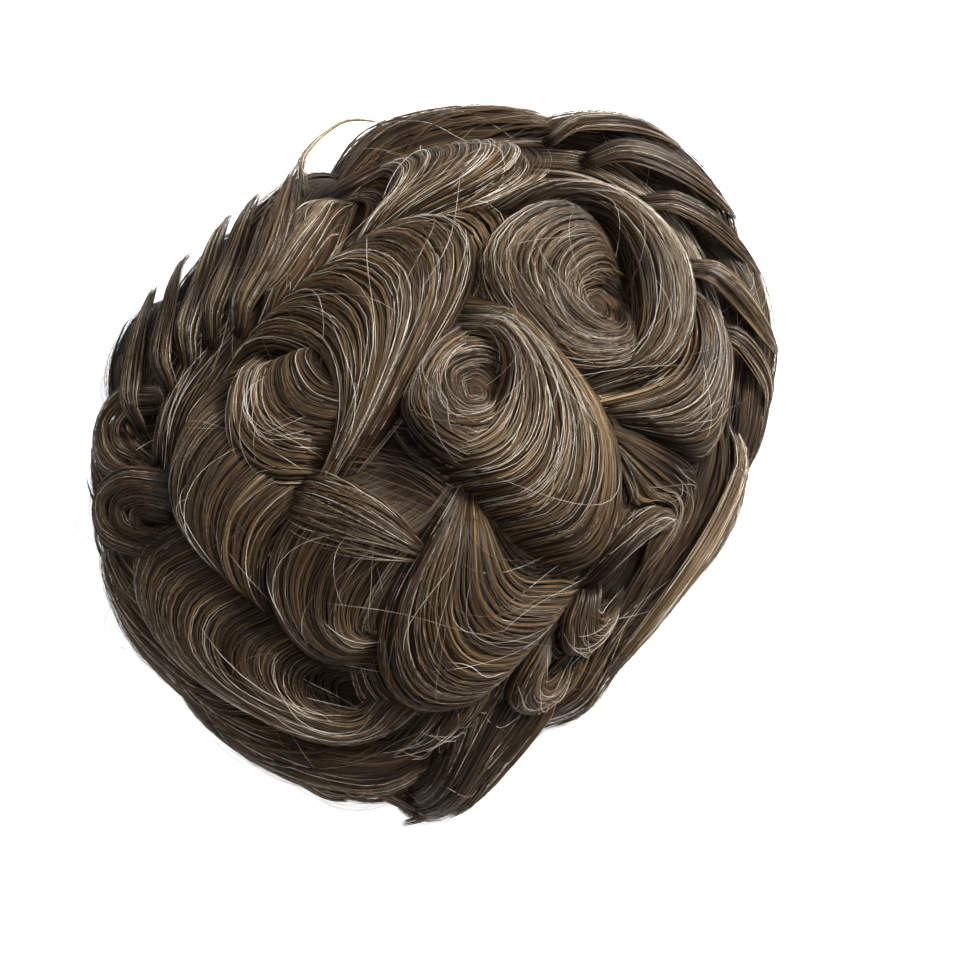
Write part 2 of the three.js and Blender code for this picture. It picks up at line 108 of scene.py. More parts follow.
def add_node(material, kind, inputs=None, stops=(), **settings):
    """Adds a node to a material. inputs gives each socket a value, or an output socket to be linked to it.
    stops are the places and sRGB colours of a colour ramp, and settings are the node's own properties."""
    node = material.node_tree.nodes.new(kind)
    for key, value in settings.items():
        setattr(node, key, value)
    for key, value in (inputs or {}).items():
        if isinstance(value, bpy.types.NodeSocket):
            material.node_tree.links.new(value, node.inputs[key])
        else:
            node.inputs[key].default_value = value
    elements = node.color_ramp.elements if stops else []
    while len(elements) < len(stops):
        elements.new(0.5)
    for element, (place, code) in zip(elements, stops):
        element.position = place
        element.color = linear(code)
    return node


def new_material(name):
    """An empty node material."""
    material = bpy.data.materials.new(name)
    material.use_nodes = True
    material.node_tree.nodes.clear()
    return material


CAP_SPOKES = 160
CAP_RINGS = 48
POLE_REACH = 0.004
bearings = np.arange(CAP_SPOKES) / CAP_SPOKES * 2 * np.pi
reaches = np.linspace(POLE_REACH, 1, CAP_RINGS)
wall_reach = np.concatenate([reaches, reaches[::-1]])[:, None]
wall_lift = np.repeat([0.0, -CAP_WALL], CAP_RINGS)[:, None] * np.ones(CAP_SPOKES)
cap_points = over_cap(wall_reach * np.cos(bearings), wall_reach * np.sin(bearings), wall_lift)
cap_points = cap_points.reshape(-1, 3)
crown_points = over_cap(np.zeros(2), np.zeros(2), np.array([0.0, -CAP_WALL]))
last_ring = (2 * CAP_RINGS - 1) * CAP_SPOKES
spoke = np.arange(CAP_SPOKES)
next_spoke = (spoke + 1) % CAP_SPOKES
outer_pole = np.full(CAP_SPOKES, len(cap_points))
cap_faces = [
    ring_faces(2 * CAP_RINGS, CAP_SPOKES),
    np.stack([outer_pole, spoke, next_spoke], -1),
    np.stack([outer_pole + 1, last_ring + next_spoke, last_ring + spoke], -1),
]
base_cap = mesh_object("base_cap_skin", np.concatenate([cap_points, crown_points]), cap_faces)

# Polyurethane skin, cast in a thin film: slightly milky and waxy, in the colour of pale skin. The knots are
# drawn about 1.6 mm apart, coarser than the real ones, so that they show.
KNOTS_PER_METRE = 620.0
cap_skin = new_material("thin polyurethane skin with knots")
cap_place = add_node(cap_skin, "ShaderNodeTexCoord").outputs["Object"]
cap_knots = add_node(
    cap_skin, "ShaderNodeTexVoronoi", {"Vector": cap_place, "Scale": KNOTS_PER_METRE, "Randomness": 0.35}
)
cap_dots = add_node(
    cap_skin,
    "ShaderNodeValToRGB",
    {"Fac": cap_knots.outputs["Distance"]},
    stops=[(0.16, "#2a1c12"), (0.27, "#c2a184")],
)
cap_cloud = add_node(cap_skin, "ShaderNodeTexNoise", {"Vector": cap_place, "Scale": 45.0, "Detail": 4.0})
cap_tint = add_node(
    cap_skin,
    "ShaderNodeValToRGB",
    {"Fac": cap_cloud.outputs["Fac"]},
    stops=[(0.3, "#e2cdb8"), (0.7, "#ffffff")],
)
cap_color = add_node(
    cap_skin,
    "ShaderNodeMix",
    {0: 1.0, 6: cap_dots.outputs["Color"], 7: cap_tint.outputs["Color"]},
    data_type="RGBA",
    blend_type="MULTIPLY",
)
cap_bump = add_node(
    cap_skin,
    "ShaderNodeBump",
    {"Height": cap_knots.outputs["Distance"], "Strength": 0.25, "Distance": 0.0003},
)
cap_shader = add_node(
    cap_skin,
    "ShaderNodeBsdfPrincipled",
    {
        "Base Color": cap_color.outputs[2],
        "Roughness": 0.42,
        "IOR": 1.5,
        "Normal": cap_bump.outputs["Normal"],
    },
)
add_node(cap_skin, "ShaderNodeOutputMaterial", {"Surface": cap_shader.outputs["BSDF"]})
base_cap.data.materials.append(cap_skin)
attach(base_cap, "root")
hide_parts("base_cap")

# The hair is human hair, brown with some grey, in styled locks. A lock has a row for each section, from its
# roots to its tip, as it is combed, rolled and set. Over the crown a row gives the places of the section's
# outer and inner edge and the height of its crest, as a share of HAIR_DEPTH. At the rim it gives the
# section's bearing at the table and at its top edge, in degrees, that edge's reach, and the crest. These are
# the rows that the part's own source has.
UNDER_DEPTH = 6.0
ROOT_LIFT = 3.0
HAIR_DEPTH = 24.0
LOCK_EDGE = 1.6
LOCK_ROUNDING = 2.4
RIM_CREST_AT = 0.42
RIM_SKIRT = 0.8
LOCKS = {
    "top_hair": {
        "left_swirl": [
            [-0.39, 0.2, -0.49, -0.2, 0.5],
            [-0.32, 0.29, -0.455, -0.13, 0.72],
            [-0.23, 0.325, -0.38, -0.09, 0.86],
            [-0.14, 0.29, -0.28, -0.075, 0.92],
            [-0.08, 0.2, -0.2, -0.1, 0.92],
            [-0.055, 0.07, -0.135, -0.15, 0.88],
            [-0.035, -0.07, -0.1, -0.21, 0.78],
            [-0.04, -0.2, -0.1, -0.28, 0.55],
        ],
        "left_swirl_bowl": [
            [-0.43, -0.13, -0.33, -0.1, 0.62],
            [-0.41, -0.21, -0.3, -0.12, 0.72],
            [-0.345, -0.285, -0.265, -0.135, 0.76],
            [-0.26, -0.315, -0.23, -0.14, 0.76],
            [-0.17, -0.305, -0.19, -0.135, 0.72],
            [-0.095, -0.26, -0.15, -0.12, 0.62],
        ],
        "right_swirl": [
            [-0.2, 0.42, -0.06, 0.47, 0.55],
            [-0.15, 0.5, -0.01, 0.495, 0.72],
            [-0.06, 0.565, 0.05, 0.515, 0.84],
            [0.05, 0.61, 0.1, 0.505, 0.92],
            [0.19, 0.615, 0.16, 0.47, 0.97],
            [0.31, 0.575, 0.215, 0.42, 0.97],
            [0.39, 0.49, 0.26, 0.37, 0.93],
            [0.42, 0.39, 0.285, 0.32, 0.86],
            [0.39, 0.3, 0.285, 0.27, 0.76],
            [0.32, 0.22, 0.26, 0.235, 0.55],
        ],
        "right_swirl_bowl": [
            [0.04, 0.53, 0.19, 0.43, 0.7],
            [-0.08, 0.49, 0.15, 0.415, 0.76],
            [-0.13, 0.38, 0.13, 0.38, 0.8],
            [-0.12, 0.28, 0.135, 0.345, 0.8],
            [-0.04, 0.215, 0.165, 0.32, 0.78],
            [0.1, 0.185, 0.2, 0.32, 0.76],
            [0.23, 0.2, 0.225, 0.335, 0.74],
            [0.31, 0.265, 0.24, 0.36, 0.68],
        ],
        "crown_bowl": [
            [-0.065, 0.14, 0.03, 0.12, 0.6],
            [-0.07, 0.04, 0.025, 0.07, 0.8],
            [-0.04, -0.05, 0.05, 0.035, 0.84],
            [0.05, -0.085, 0.08, 0.03, 0.84],
            [0.16, -0.08, 0.11, 0.04, 0.8],
            [0.25, -0.05, 0.14, 0.06, 0.6],
        ],
        "crown_swirl": [
            [-0.075, 0.205, -0.045, 0.13, 0.55],
            [0.04, 0.225, 0.03, 0.155, 0.76],
            [0.18, 0.205, 0.08, 0.13, 0.9],
            [0.305, 0.18, 0.105, 0.085, 0.97],
            [0.42, 0.135, 0.11, 0.04, 1],
            [0.5, 0.07, 0.1, 0, 1],
            [0.55, 0, 0.07, -0.03, 0.96],
            [0.56, -0.06, 0.03, -0.05, 0.88],
            [0.53, -0.115, -0.03, -0.075, 0.66],
        ],
        "right_lower_wave": [
            [0.35, 0.585, 0.32, 0.555, 0.6],
            [0.46, 0.555, 0.375, 0.5, 0.76],
            [0.55, 0.505, 0.415, 0.44, 0.86],
            [0.615, 0.42, 0.43, 0.38, 0.88],
            [0.655, 0.355, 0.42, 0.32, 0.86],
            [0.67, 0.3, 0.385, 0.265, 0.8],
            [0.64, 0.26, 0.34, 0.215, 0.7],
            [0.56, 0.235, 0.31, 0.185, 0.52],
        ],
        "front_left_roll": [
            [-0.31, 0.66, -0.575, 0.31, 0.55],
            [-0.235, 0.6, -0.52, 0.345, 0.76],
            [-0.21, 0.52, -0.455, 0.34, 0.84],
            [-0.23, 0.43, -0.42, 0.295, 0.8],
            [-0.28, 0.345, -0.415, 0.245, 0.7],
            [-0.345, 0.26, -0.42, 0.19, 0.5],
        ],
        "front_left_twist": [
            [-0.6, 0.27, -0.53, 0.28, 0.5],
            [-0.59, 0.19, -0.49, 0.21, 0.78],
            [-0.565, 0.12, -0.455, 0.14, 0.82],
            [-0.53, 0.05, -0.44, 0.06, 0.74],
            [-0.51, -0.03, -0.455, -0.03, 0.5],
        ],
        "small_curl": [
            [0.56, -0.12, 0.62, -0.1, 0.5],
            [0.55, -0.04, 0.61, -0.03, 0.72],
            [0.56, 0.035, 0.61, 0.02, 0.8],
            [0.59, 0.1, 0.635, 0.06, 0.8],
            [0.645, 0.13, 0.66, 0.08, 0.72],
            [0.695, 0.125, 0.68, 0.08, 0.5],
        ],
        "front_valley_lock": [
            [-0.25, 0.74, -0.17, 0.58, 0.42],
            [-0.08, 0.78, -0.04, 0.62, 0.5],
            [0.12, 0.77, 0.12, 0.66, 0.52],
            [0.3, 0.72, 0.28, 0.63, 0.52],
            [0.46, 0.64, 0.42, 0.58, 0.5],
            [0.58, 0.54, 0.53, 0.52, 0.48],
            [0.66, 0.44, 0.62, 0.43, 0.42],
        ],
        "right_under_wave": [
            [0.38, 0.175, 0.42, 0.14, 0.42],
            [0.5, 0.215, 0.5, 0.1, 0.52],
            [0.62, 0.25, 0.555, 0.08, 0.56],
            [0.71, 0.24, 0.585, 0.11, 0.56],
            [0.755, 0.14, 0.66, 0.14, 0.52],
            [0.76, 0.01, 0.71, 0.04, 0.42],
        ],
    },
    "crown_hair": {
        "lower_crescent": [
            [0.165, -0.115, 0.235, -0.105, 0.6],
            [0.175, -0.22, 0.29, -0.13, 0.8],
            [0.19, -0.33, 0.345, -0.155, 0.9],
            [0.235, -0.43, 0.39, -0.17, 0.93],
            [0.315, -0.505, 0.44, -0.17, 0.93],
            [0.41, -0.53, 0.48, -0.15, 0.9],
            [0.505, -0.49, 0.525, -0.125, 0.84],
            [0.56, -0.41, 0.57, -0.11, 0.7],
        ],
        "left_crescent": [
            [-0.03, -0.18, 0.17, -0.19, 0.62],
            [-0.08, -0.245, 0.15, -0.26, 0.76],
            [-0.105, -0.32, 0.14, -0.315, 0.82],
            [-0.095, -0.405, 0.145, -0.37, 0.82],
            [-0.045, -0.475, 0.16, -0.41, 0.8],
            [0.04, -0.525, 0.185, -0.435, 0.76],
            [0.145, -0.54, 0.215, -0.435, 0.7],
            [0.24, -0.51, 0.24, -0.42, 0.55],
        ],
        "back_left_wave": [
            [-0.435, -0.505, 0.19, -0.54, 0.5],
            [-0.475, -0.6, 0.165, -0.57, 0.66],
            [-0.455, -0.7, 0.17, -0.6, 0.72],
            [-0.36, -0.765, 0.195, -0.625, 0.72],
            [-0.2, -0.79, 0.225, -0.64, 0.68],
            [0, -0.775, 0.255, -0.645, 0.66],
            [0.18, -0.765, 0.28, -0.635, 0.64],
            [0.33, -0.72, 0.305, -0.62, 0.64],
            [0.42, -0.63, 0.32, -0.6, 0.6],
            [0.455, -0.54, 0.325, -0.575, 0.48],
        ],
        "left_band": [
            [-0.5, -0.2, -0.04, -0.27, 0.55],
            [-0.495, -0.295, -0.07, -0.335, 0.74],
            [-0.475, -0.37, -0.08, -0.39, 0.8],
            [-0.435, -0.44, -0.06, -0.45, 0.76],
            [-0.365, -0.49, -0.025, -0.495, 0.62],
            [-0.26, -0.515, 0.01, -0.525, 0.45],
        ],
        "right_pocket_bowl": [
            [0.585, -0.13, 0.63, -0.08, 0.45],
            [0.6, -0.2, 0.65, -0.11, 0.58],
            [0.66, -0.25, 0.68, -0.13, 0.6],
            [0.73, -0.24, 0.71, -0.12, 0.58],
            [0.775, -0.17, 0.735, -0.08, 0.45],
        ],
        "right_bump": [
            [0.59, -0.24, 0.65, -0.27, 0.45],
            [0.585, -0.33, 0.655, -0.31, 0.62],
            [0.62, -0.41, 0.68, -0.33, 0.66],
            [0.69, -0.435, 0.71, -0.325, 0.66],
            [0.75, -0.4, 0.73, -0.3, 0.6],
            [0.78, -0.32, 0.74, -0.27, 0.45],
        ],
        "left_valley_lock": [
            [-0.68, 0.06, -0.52, 0.04, 0.42],
            [-0.71, -0.08, -0.5, -0.08, 0.52],
            [-0.7, -0.21, -0.5, -0.19, 0.52],
            [-0.66, -0.34, -0.5, -0.3, 0.5],
            [-0.6, -0.46, -0.47, -0.41, 0.42],
        ],
        "back_right_valley": [
            [0.46, -0.55, 0.6, -0.4, 0.42],
            [0.46, -0.64, 0.62, -0.48, 0.48],
            [0.45, -0.73, 0.62, -0.56, 0.48],
            [0.43, -0.8, 0.6, -0.62, 0.42],
        ],
    },
    "back_hair": {
        "back_tuft": [
            [-30, -26, 0.72, 0.4],
            [-36, -33, 0.74, 0.62],
            [-43, -40, 0.78, 1],
            [-49, -46, 0.84, 1.25],
            [-54, -51, 0.92, 1.15],
            [-57, -55, 0.98, 0.8],
        ],
        "back_rim": [
            [-46, -48, 0.84, 0.5],
            [-56, -58, 0.82, 0.8],
            [-66, -68, 0.82, 0.72],
            [-76, -78, 0.82, 0.6],
            [-86, -88, 0.82, 0.52],
            [-96, -96, 0.84, 0.46],
            [-102, -101, 0.86, 0.38],
        ],
    },
    "front_hair": {
        "front_rim_left": [
            [156, 150, 0.8, 0.45],
            [146, 141, 0.8, 0.84],
            [136, 132, 0.8, 0.88],
            [124, 122, 0.8, 0.84],
            [112, 112, 0.82, 0.76],
            [104, 104, 0.86, 0.5],
        ],
        "front_rim_right": [
            [120, 116, 0.82, 0.45],
            [108, 106, 0.8, 0.95],
            [98, 96, 0.8, 1.15],
            [88, 87, 0.8, 1.22],
            [78, 78, 0.8, 1.18],
            [68, 70, 0.82, 1.05],
            [61, 64, 0.86, 0.7],
        ],
        "right_front_rim": [
            [72, 70, 0.82, 0.6],
            [64, 63, 0.8, 1.02],
            [56, 56, 0.8, 1.06],
            [48, 49, 0.8, 0.95],
            [42, 44, 0.84, 0.6],
        ],
    },
    "right_side_hair": {
        "right_rim": [
            [56, 53, 0.8, 0.6],
            [48, 47, 0.8, 1.05],
            [40, 40, 0.8, 0.96],
            [31, 32, 0.8, 0.88],
            [24, 25, 0.82, 0.7],
            [19, 21, 0.85, 0.45],
        ],
        "right_rim_rope": [
            [34, 32, 0.78, 0.45],
            [24, 23, 0.77, 0.68],
            [14, 13, 0.76, 0.68],
            [4, 3, 0.76, 0.52],
            [-6, -6, 0.77, 0.42],
            [-15, -14, 0.78, 0.4],
            [-22, -21, 0.8, 0.36],
        ],
        "right_back_rim": [
            [-8, -9, 0.8, 0.38],
            [-16, -16, 0.8, 0.55],
            [-22, -22, 0.8, 0.62],
            [-29, -28, 0.8, 0.45],
            [-35, -34, 0.82, 0.38],
        ],
    },
    "left_side_hair": {
        "left_rim_loop": [
            [-124, -122, 0.76, 0.6],
            [-131, -130, 0.74, 0.88],
            [-139, -138, 0.74, 0.95],
            [-147, -147, 0.76, 1],
            [-154, -155, 0.8, 0.7],
        ],
        "left_rim": [
            [-148, -150, 0.8, 0.6],
            [-156, -157, 0.76, 1.08],
            [-163, -164, 0.74, 1.18],
            [-169, -170, 0.76, 1.1],
            [-174, -176, 0.82, 0.7],
        ],
        "left_back_rim": [
            [-96, -98, 0.82, 0.4],
            [-104, -105, 0.82, 0.48],
            [-112, -112, 0.8, 0.6],
            [-120, -119, 0.78, 0.68],
            [-128, -126, 0.78, 0.72],
            [-133, -131, 0.8, 0.5],
        ],
        "left_front_lock": [
            [-166, -168, 0.76, 0.6],
            [-173, -174, 0.72, 0.9],
            [-180, -180, 0.72, 0.92],
            [-187, -186, 0.74, 0.88],
            [-193, -191, 0.8, 0.6],
        ],
        "left_front_twist": [
            [-185, -184, 0.72, 0.55],
            [-191, -190, 0.68, 0.85],
            [-198, -197, 0.68, 0.9],
            [-205, -203, 0.72, 0.85],
            [-211, -208, 0.8, 0.55],
        ],
    },
}
END_PAST = 0.1
END_RISE = 0.22
RIM_DIP = 0.3
RIM_ZONES = ("back_hair", "front_hair", "right_side_hair", "left_side_hair")


def through(rows, share):
    """A smooth curve through the rows, at a share of the way along: between two rows a cubic whose slope at
    each is half the step between that row's neighbours. Past the ends the first and last steps go on."""
    rows = np.array(rows, float)
    first, last = rows[0] - rows[1], rows[-1] - rows[-2]
    whole = np.vstack([rows[0] + 2 * first, rows[0] + first, rows, rows[-1] + last, rows[-1] + 2 * last])
    place = np.clip(1 + share * (len(rows) - 1), 0, len(rows) + 1)
    start = np.minimum(place.astype(int), len(rows))
    t = (place - start)[..., None]
    before, here, there, beyond = (whole[start + k] for k in range(4))
    leave = (there - before) / 2
    arrive = (beyond - here) / 2
    bend = (2 * here - 2 * there + leave + arrive) * t + 3 * there - 3 * here - 2 * leave - arrive
    return (bend * t + leave) * t + here


def smooth(share):
    """0 up to 0, 1 from 1 on, and an S-shaped rise between them."""
    share = np.clip(share, 0, 1)
    return share * share * (3 - 2 * share)


def lock_edges(zone, rows, down):
    """The outer edge, the inner edge and the crest of a lock's section, as places over the cap and a
    share."""
    section = through(rows, down)
    if zone not in RIM_ZONES:
        return section[..., 0:2], section[..., 2:4], section[..., 4]
    table, top = np.radians(section[..., 0]), np.radians(section[..., 1])
    outer = TABLE_REACH * np.stack([np.cos(table), np.sin(table)], -1)
    inner = section[..., 2:3] * np.stack([np.cos(top), np.sin(top)], -1)
    return outer, inner, section[..., 3]


def on_lock(zone, rows, down, across, offset):
    """Points on a lock's top sheet, raised by offset. down is the share from its roots to its tip and across
    the share from its outer to its inner edge. The sheet swells from the edges to the crest as a squarish
    ellipse does. Over the crown it falls to the under layer past the lock's ends. The rim's locks fall only
    by RIM_DIP there, so that one runs into the next."""
    outer, inner, crest = lock_edges(zone, rows, down)
    rim = zone in RIM_ZONES
    crest_at, skirt = (RIM_CREST_AT, RIM_SKIRT) if rim else (0.5, 0.0)
    side = np.where(across < crest_at, crest_at, 1 - crest_at)
    away = np.clip(np.abs(across - crest_at) / side, 0, 1)
    swell = (1 - away**LOCK_ROUNDING) ** (1 / LOCK_ROUNDING)
    swell = np.where(across < crest_at, skirt + (1 - skirt) * swell, swell)
    ends = smooth((np.minimum(down, 1 - down) + END_PAST) / END_RISE)
    swell = swell * (1 - RIM_DIP + RIM_DIP * ends if rim else ends)
    edge = UNDER_DEPTH + LOCK_EDGE
    place = outer + (inner - outer) * across[..., None]
    crest = np.maximum(crest, 0.36)
    return over_cap(place[..., 0], place[..., 1], edge + (crest * HAIR_DEPTH - edge) * swell + offset)


# Patches of painted light and shade: painted shade where the hair lies in the deep valleys, and painted
# highlights, drawn as lighter hair with more grey in it: the place from above and the patch's radius, in
# millimetres, and the change of tone.
# Painted shade in the deep valleys between locks.
PAINTED_VALLEY_SHADE = [
    [13, 77, 9, -0.24], [2, 78, 8, -0.44], [35, 70, 8, -0.24], [54, -43, 11, -0.14],
    [65, -29, 9, -0.1], [12, -74, 10, -0.2], [-36, -68, 10, -0.2], [-19, -78, 8, -0.12],
    [21, -78, 8, -0.16], [-68, 74, 7, -0.22], [-5, 125, 9, -0.28], [18, 126, 7, -0.24],
    [-20, -98, 6, -0.2], [0, -100, 8, -0.32], [29, -101, 9, -0.48], [63, 81, 6, -0.28],
    [72, 64, 6, -0.28], [84, 27, 9, -0.54], [-74, 34, 8, -0.52], [-82, -5, 8, -0.48],
    [-88, -22, 8, -0.52], [86, -18, 9, -0.48], [59, -100, 9, -0.2], [80, -48, 6, -0.28],
    [12, -27, 10, -0.6], [46, 35, 5, -0.2], [32, 43, 6, -0.12],
]
# Painted highlights, drawn as lighter and greyer hair.
PAINTED_HIGHLIGHTS = [
    [50, 0, 13, 0.24], [50, 23, 10, 0.24], [36, -10, 11, 0.36], [53, -17, 9, 0.28], [11, 18, 10, 0.34],
    [-12, 49, 8, 0.3], [-61, 48, 7, 0.22], [-58, -13, 10, 0.15], [-51, 21, 10, 0.12],
    [-45, -45, 8, 0.3], [-23, 70, 7, 0.16], [-10, 87, 8, 0.16], [10, 94, 8, 0.16], [26, 90, 9, 0.26],
    [29, -27, 5, 0.15], [81, 9, 5, 0.16], [-66, -103, 9, 0.14], [-41, -118, 9, 0.14],
    [-14, -125, 9, 0.14], [20, -126, 9, 0.14], [47, -120, 8, 0.12], [90, 72, 8, 0.16],
    [73, 99, 8, 0.14], [106, 10, 9, 0.14], [-9, 134, 7, 0.18], [-30, 119, 7, 0.16],
]
PAINTED_LIGHT_PATCHES = np.array(PAINTED_VALLEY_SHADE + PAINTED_HIGHLIGHTS)


def painted_light_and_shade(points):
    """The painted light and shade at points, as a change of tone: each patch fades from its middle as a bell
    curve does.
    """
    away = np.hypot(points[..., 0:1] - PAINTED_LIGHT_PATCHES[:, 0], points[..., 1:2] - PAINTED_LIGHT_PATCHES[:, 1]) / PAINTED_LIGHT_PATCHES[:, 2]
    return (PAINTED_LIGHT_PATCHES[:, 3] * np.exp(-(away**2))).sum(-1)


# The mass of hair under the top strands is the same hair: dark and matt, with fine streaks that run along
# the lock.
# The streaks are drawn about 0.3 mm apart, coarser than real hairs, so that they show. Its darkest colours
# are painted shade, where it lies under the strands and in the valleys. tone makes one ribbon of it lighter
# than the next, and carries the patches' painted light and shade.
mass = new_material("combed human hair in its own shade")
mass_combed = add_node(mass, "ShaderNodeAttribute", attribute_name="combed").outputs["Vector"]
mass_tone = add_node(mass, "ShaderNodeAttribute", attribute_name="tone").outputs["Fac"]
mass_map = add_node(mass, "ShaderNodeMapping", {"Vector": mass_combed, "Scale": (0.03, 3.4, 1.0)})
mass_streaks = add_node(
    mass,
    "ShaderNodeTexNoise",
    {"Vector": mass_map.outputs["Vector"], "Scale": 1.0, "Detail": 3.0, "Roughness": 0.6},
)
mass_own = add_node(
    mass,
    "ShaderNodeMath",
    {0: mass_tone, 1: 0.26, 2: mass_streaks.outputs["Fac"]},
    operation="MULTIPLY_ADD",
)
mass_colors_and_shade = add_node(
    mass,
    "ShaderNodeValToRGB",
    {"Fac": mass_own.outputs["Value"]},
    stops=[(0.5, "#110a06"), (0.62, "#2a1e13"), (0.74, "#523e27"), (0.86, "#8b7556")],
)
mass_bump = add_node(
    mass, "ShaderNodeBump", {"Height": mass_streaks.outputs["Fac"], "Strength": 1.0, "Distance": 0.0005}
)
mass_shader = add_node(
    mass,
    "ShaderNodeBsdfPrincipled",
    {
        "Base Color": mass_colors_and_shade.outputs["Color"],
        "Roughness": 0.6,
        "Specular IOR Level": 0.16,
        "Specular Tint": linear("#f2e4d0"),
        "Normal": mass_bump.outputs["Normal"],
    },
)
add_node(mass, "ShaderNodeOutputMaterial", {"Surface": mass_shader.outputs["BSDF"]})

# Each zone's mass of hair is one joined piece, which stands for the zone's solid: its share of the under
# layer, the bodies of its locks and flat ribbons of hair on them. On the real one it is hair knotted to the
# cap and combed into locks. Some locks lie a few millimetres under their rows, where loose locks cover them,
# and their ribbons and strands are painted darker, as painted shade under the loose locks.
SHEET_UNDER = 0.9
SLAB_UNDER = 1.0
SLAB_LIFT = 0.4
# The under layer's tone is 0 and the lock bodies' is BODY_TONE. The under layer is therefore painted darker,
# as painted shade in the valleys between the locks.
BODY_TONE = 0.3
UNDER_PATCHES = {
    "top_hair": (0.0, 0.78, -12, 192),
    "crown_hair": (0.0, 0.78, 192, 348),
    "back_hair": (0.785, 1.0, -100, -32),
    "front_hair": (0.785, 1.0, 45, 158),
    "right_side_hair": (0.785, 1.0, -32, 45),
    "left_side_hair": (0.785, 1.0, 158, 260),
}
SETTLED = {
    "left_front_lock": 4.5,
    "left_front_twist": 4.5,
    "left_rim": 2.5,
    "left_rim_loop": 2.5,
    "left_valley_lock": 1.0,
    "front_rim_right": 3.0,
    "right_front_rim": 2.5,
    "right_rim": 2.5,
    "back_tuft": 3.0,
}


def slab(top, base, combed):
    """A closed body between a top and a base sheet on equal grids: rings over the top and back under it,
    with both ends capped. Its faces are turned round if its volume, a sum of products over them, is
    negative."""
    stations, strips, _ = top.shape
    around = 2 * strips
    strip = np.arange(strips - 1)
    caps = np.stack([strip, strip + 1, around - 2 - strip, around - 1 - strip], -1)
    faces = np.concatenate([ring_faces(stations, around), caps, caps[:, ::-1] + (stations - 1) * around])
    points = np.concatenate([top, base[:, ::-1]], 1).reshape(-1, 3)
    combed = np.concatenate([combed, combed[:, ::-1]], 1).reshape(-1, 3)
    a, b, c, d = (points[faces[:, k]] for k in range(4))
    volume = (a * np.cross(b, c)).sum() + (a * np.cross(c, d)).sum()
    return points, [faces if volume > 0 else faces[:, ::-1]], combed


def lock_body(zone, lock, rows):
    """A lock's closed body: a top sheet a little under the strands, and a base sheet in the under layer.
    combed is each point's place along and across the strands, in millimetres."""
    down = np.linspace(-END_PAST, 1 + END_PAST, 32)
    down, across = np.meshgrid(down, np.linspace(0, 1, 12), indexing="ij")
    top = on_lock(zone, rows, down, across, -SHEET_UNDER - SETTLED.get(lock, 0.0))
    outer, inner, _ = lock_edges(zone, rows, down)
    place = outer + (inner - outer) * across[..., None]
    base = over_cap(place[..., 0], place[..., 1], np.full(down.shape, ROOT_LIFT))
    length = np.linalg.norm(np.diff(top, axis=0), axis=-1).sum(0).mean()
    width = np.linalg.norm(np.diff(top, axis=1), axis=-1).sum(1).mean()
    return slab(top, base, np.stack([down * length, across * width, 0 * down], -1))


def under_body(reach_from, reach_to, bearing_from, bearing_to):
    """A patch of the under layer as a closed slab, between two reaches and two bearings in degrees. combed
    is its place along and across the cap, which is some 90 mm from the crown to the edge."""
    bearing, reach = np.meshgrid(
        np.radians(np.linspace(bearing_from, bearing_to, 40)),
        np.linspace(reach_from, reach_to, 14),
        indexing="ij",
    )
    across, along = reach * np.cos(bearing), reach * np.sin(bearing)
    top = over_cap(across, along, np.full(reach.shape, UNDER_DEPTH - SLAB_UNDER))
    base = over_cap(across, along, np.full(reach.shape, SLAB_LIFT))
    return slab(top, base, np.stack([bearing * 90, reach * 90, 0 * reach], -1))


# A bundle of hairs and a single hair have the same form: a thin closed tube, tapered at its ends as hair is
# when it is cut in layers. A bundle is flat and a hair is round. The radii are in millimetres.
TABLE_CLEAR = 0.02
RIBBON_FLATNESS = 3.0
WIDE_RIBBONS = (0.28, 0.4)
NARROW_RIBBONS = (0.2, 0.34)


def tubes(lines, radius, flatness):
    """Closed three-sided tubes along lines, one row of points a line. Each point gets a ring of three
    corners, square to the line, whose first side lies along the cap, flatness times as wide as it is high.
    The radius falls at both ends by the sixth power of the way from the middle. Returns the points, the
    faces, the place along and round each tube in millimetres, shifted from tube to tube, and the share of
    the way along."""
    count, stations, _ = lines.shape
    heading = np.gradient(lines, axis=1)
    heading /= np.linalg.norm(heading, axis=-1, keepdims=True) + 1e-9
    side = np.cross(heading, (lines - CAP_FOOT) / HALF_SIZES**2)
    side /= np.linalg.norm(side, axis=-1, keepdims=True) + 1e-9
    rise = np.cross(side, heading)
    along = np.linspace(0, 1, stations)
    taper = 1 - 0.8 * np.abs(2 * along - 1) ** 6
    size = np.asarray(radius).reshape(-1, 1, 1, 1) * taper[None, :, None, None]
    turn = np.radians([90, 210, 330])[None, None, :, None]
    ring = flatness * np.cos(turn) * side[:, :, None] + np.sin(turn) * rise[:, :, None]
    rings = lines[:, :, None] + size * ring
    rings[..., 2] = np.maximum(rings[..., 2], TABLE_CLEAR)
    here = np.arange(count)[:, None, None] * stations * 3 + np.arange(stations - 1)[None, :, None] * 3
    corner = np.arange(3)[None, None, :]
    after = (corner + 1) % 3
    sides = [here + corner, here + 3 + corner, here + 3 + after, here + after]
    sides = np.stack(sides, -1).reshape(-1, 4)
    start = np.arange(count)[:, None] * stations * 3
    ends = np.concatenate([start + [0, 1, 2], start + (stations - 1) * 3 + [0, 2, 1]])
    length = np.linalg.norm(np.diff(lines, axis=1), axis=-1).sum(1)
    number = np.arange(count)[:, None, None]
    down = length[:, None, None] * along[None, :, None] + 31.0 * number
    over = np.asarray(radius).reshape(-1, 1, 1) * flatness * np.cos(turn[..., 0]) + 7.3 * number
    place = np.stack(np.broadcast_arrays(down, over, np.zeros((1, 1, 1))), -1).reshape(-1, 3)
    return rings.reshape(-1, 3), [sides, ends], place, np.tile(np.repeat(along, 3), count)


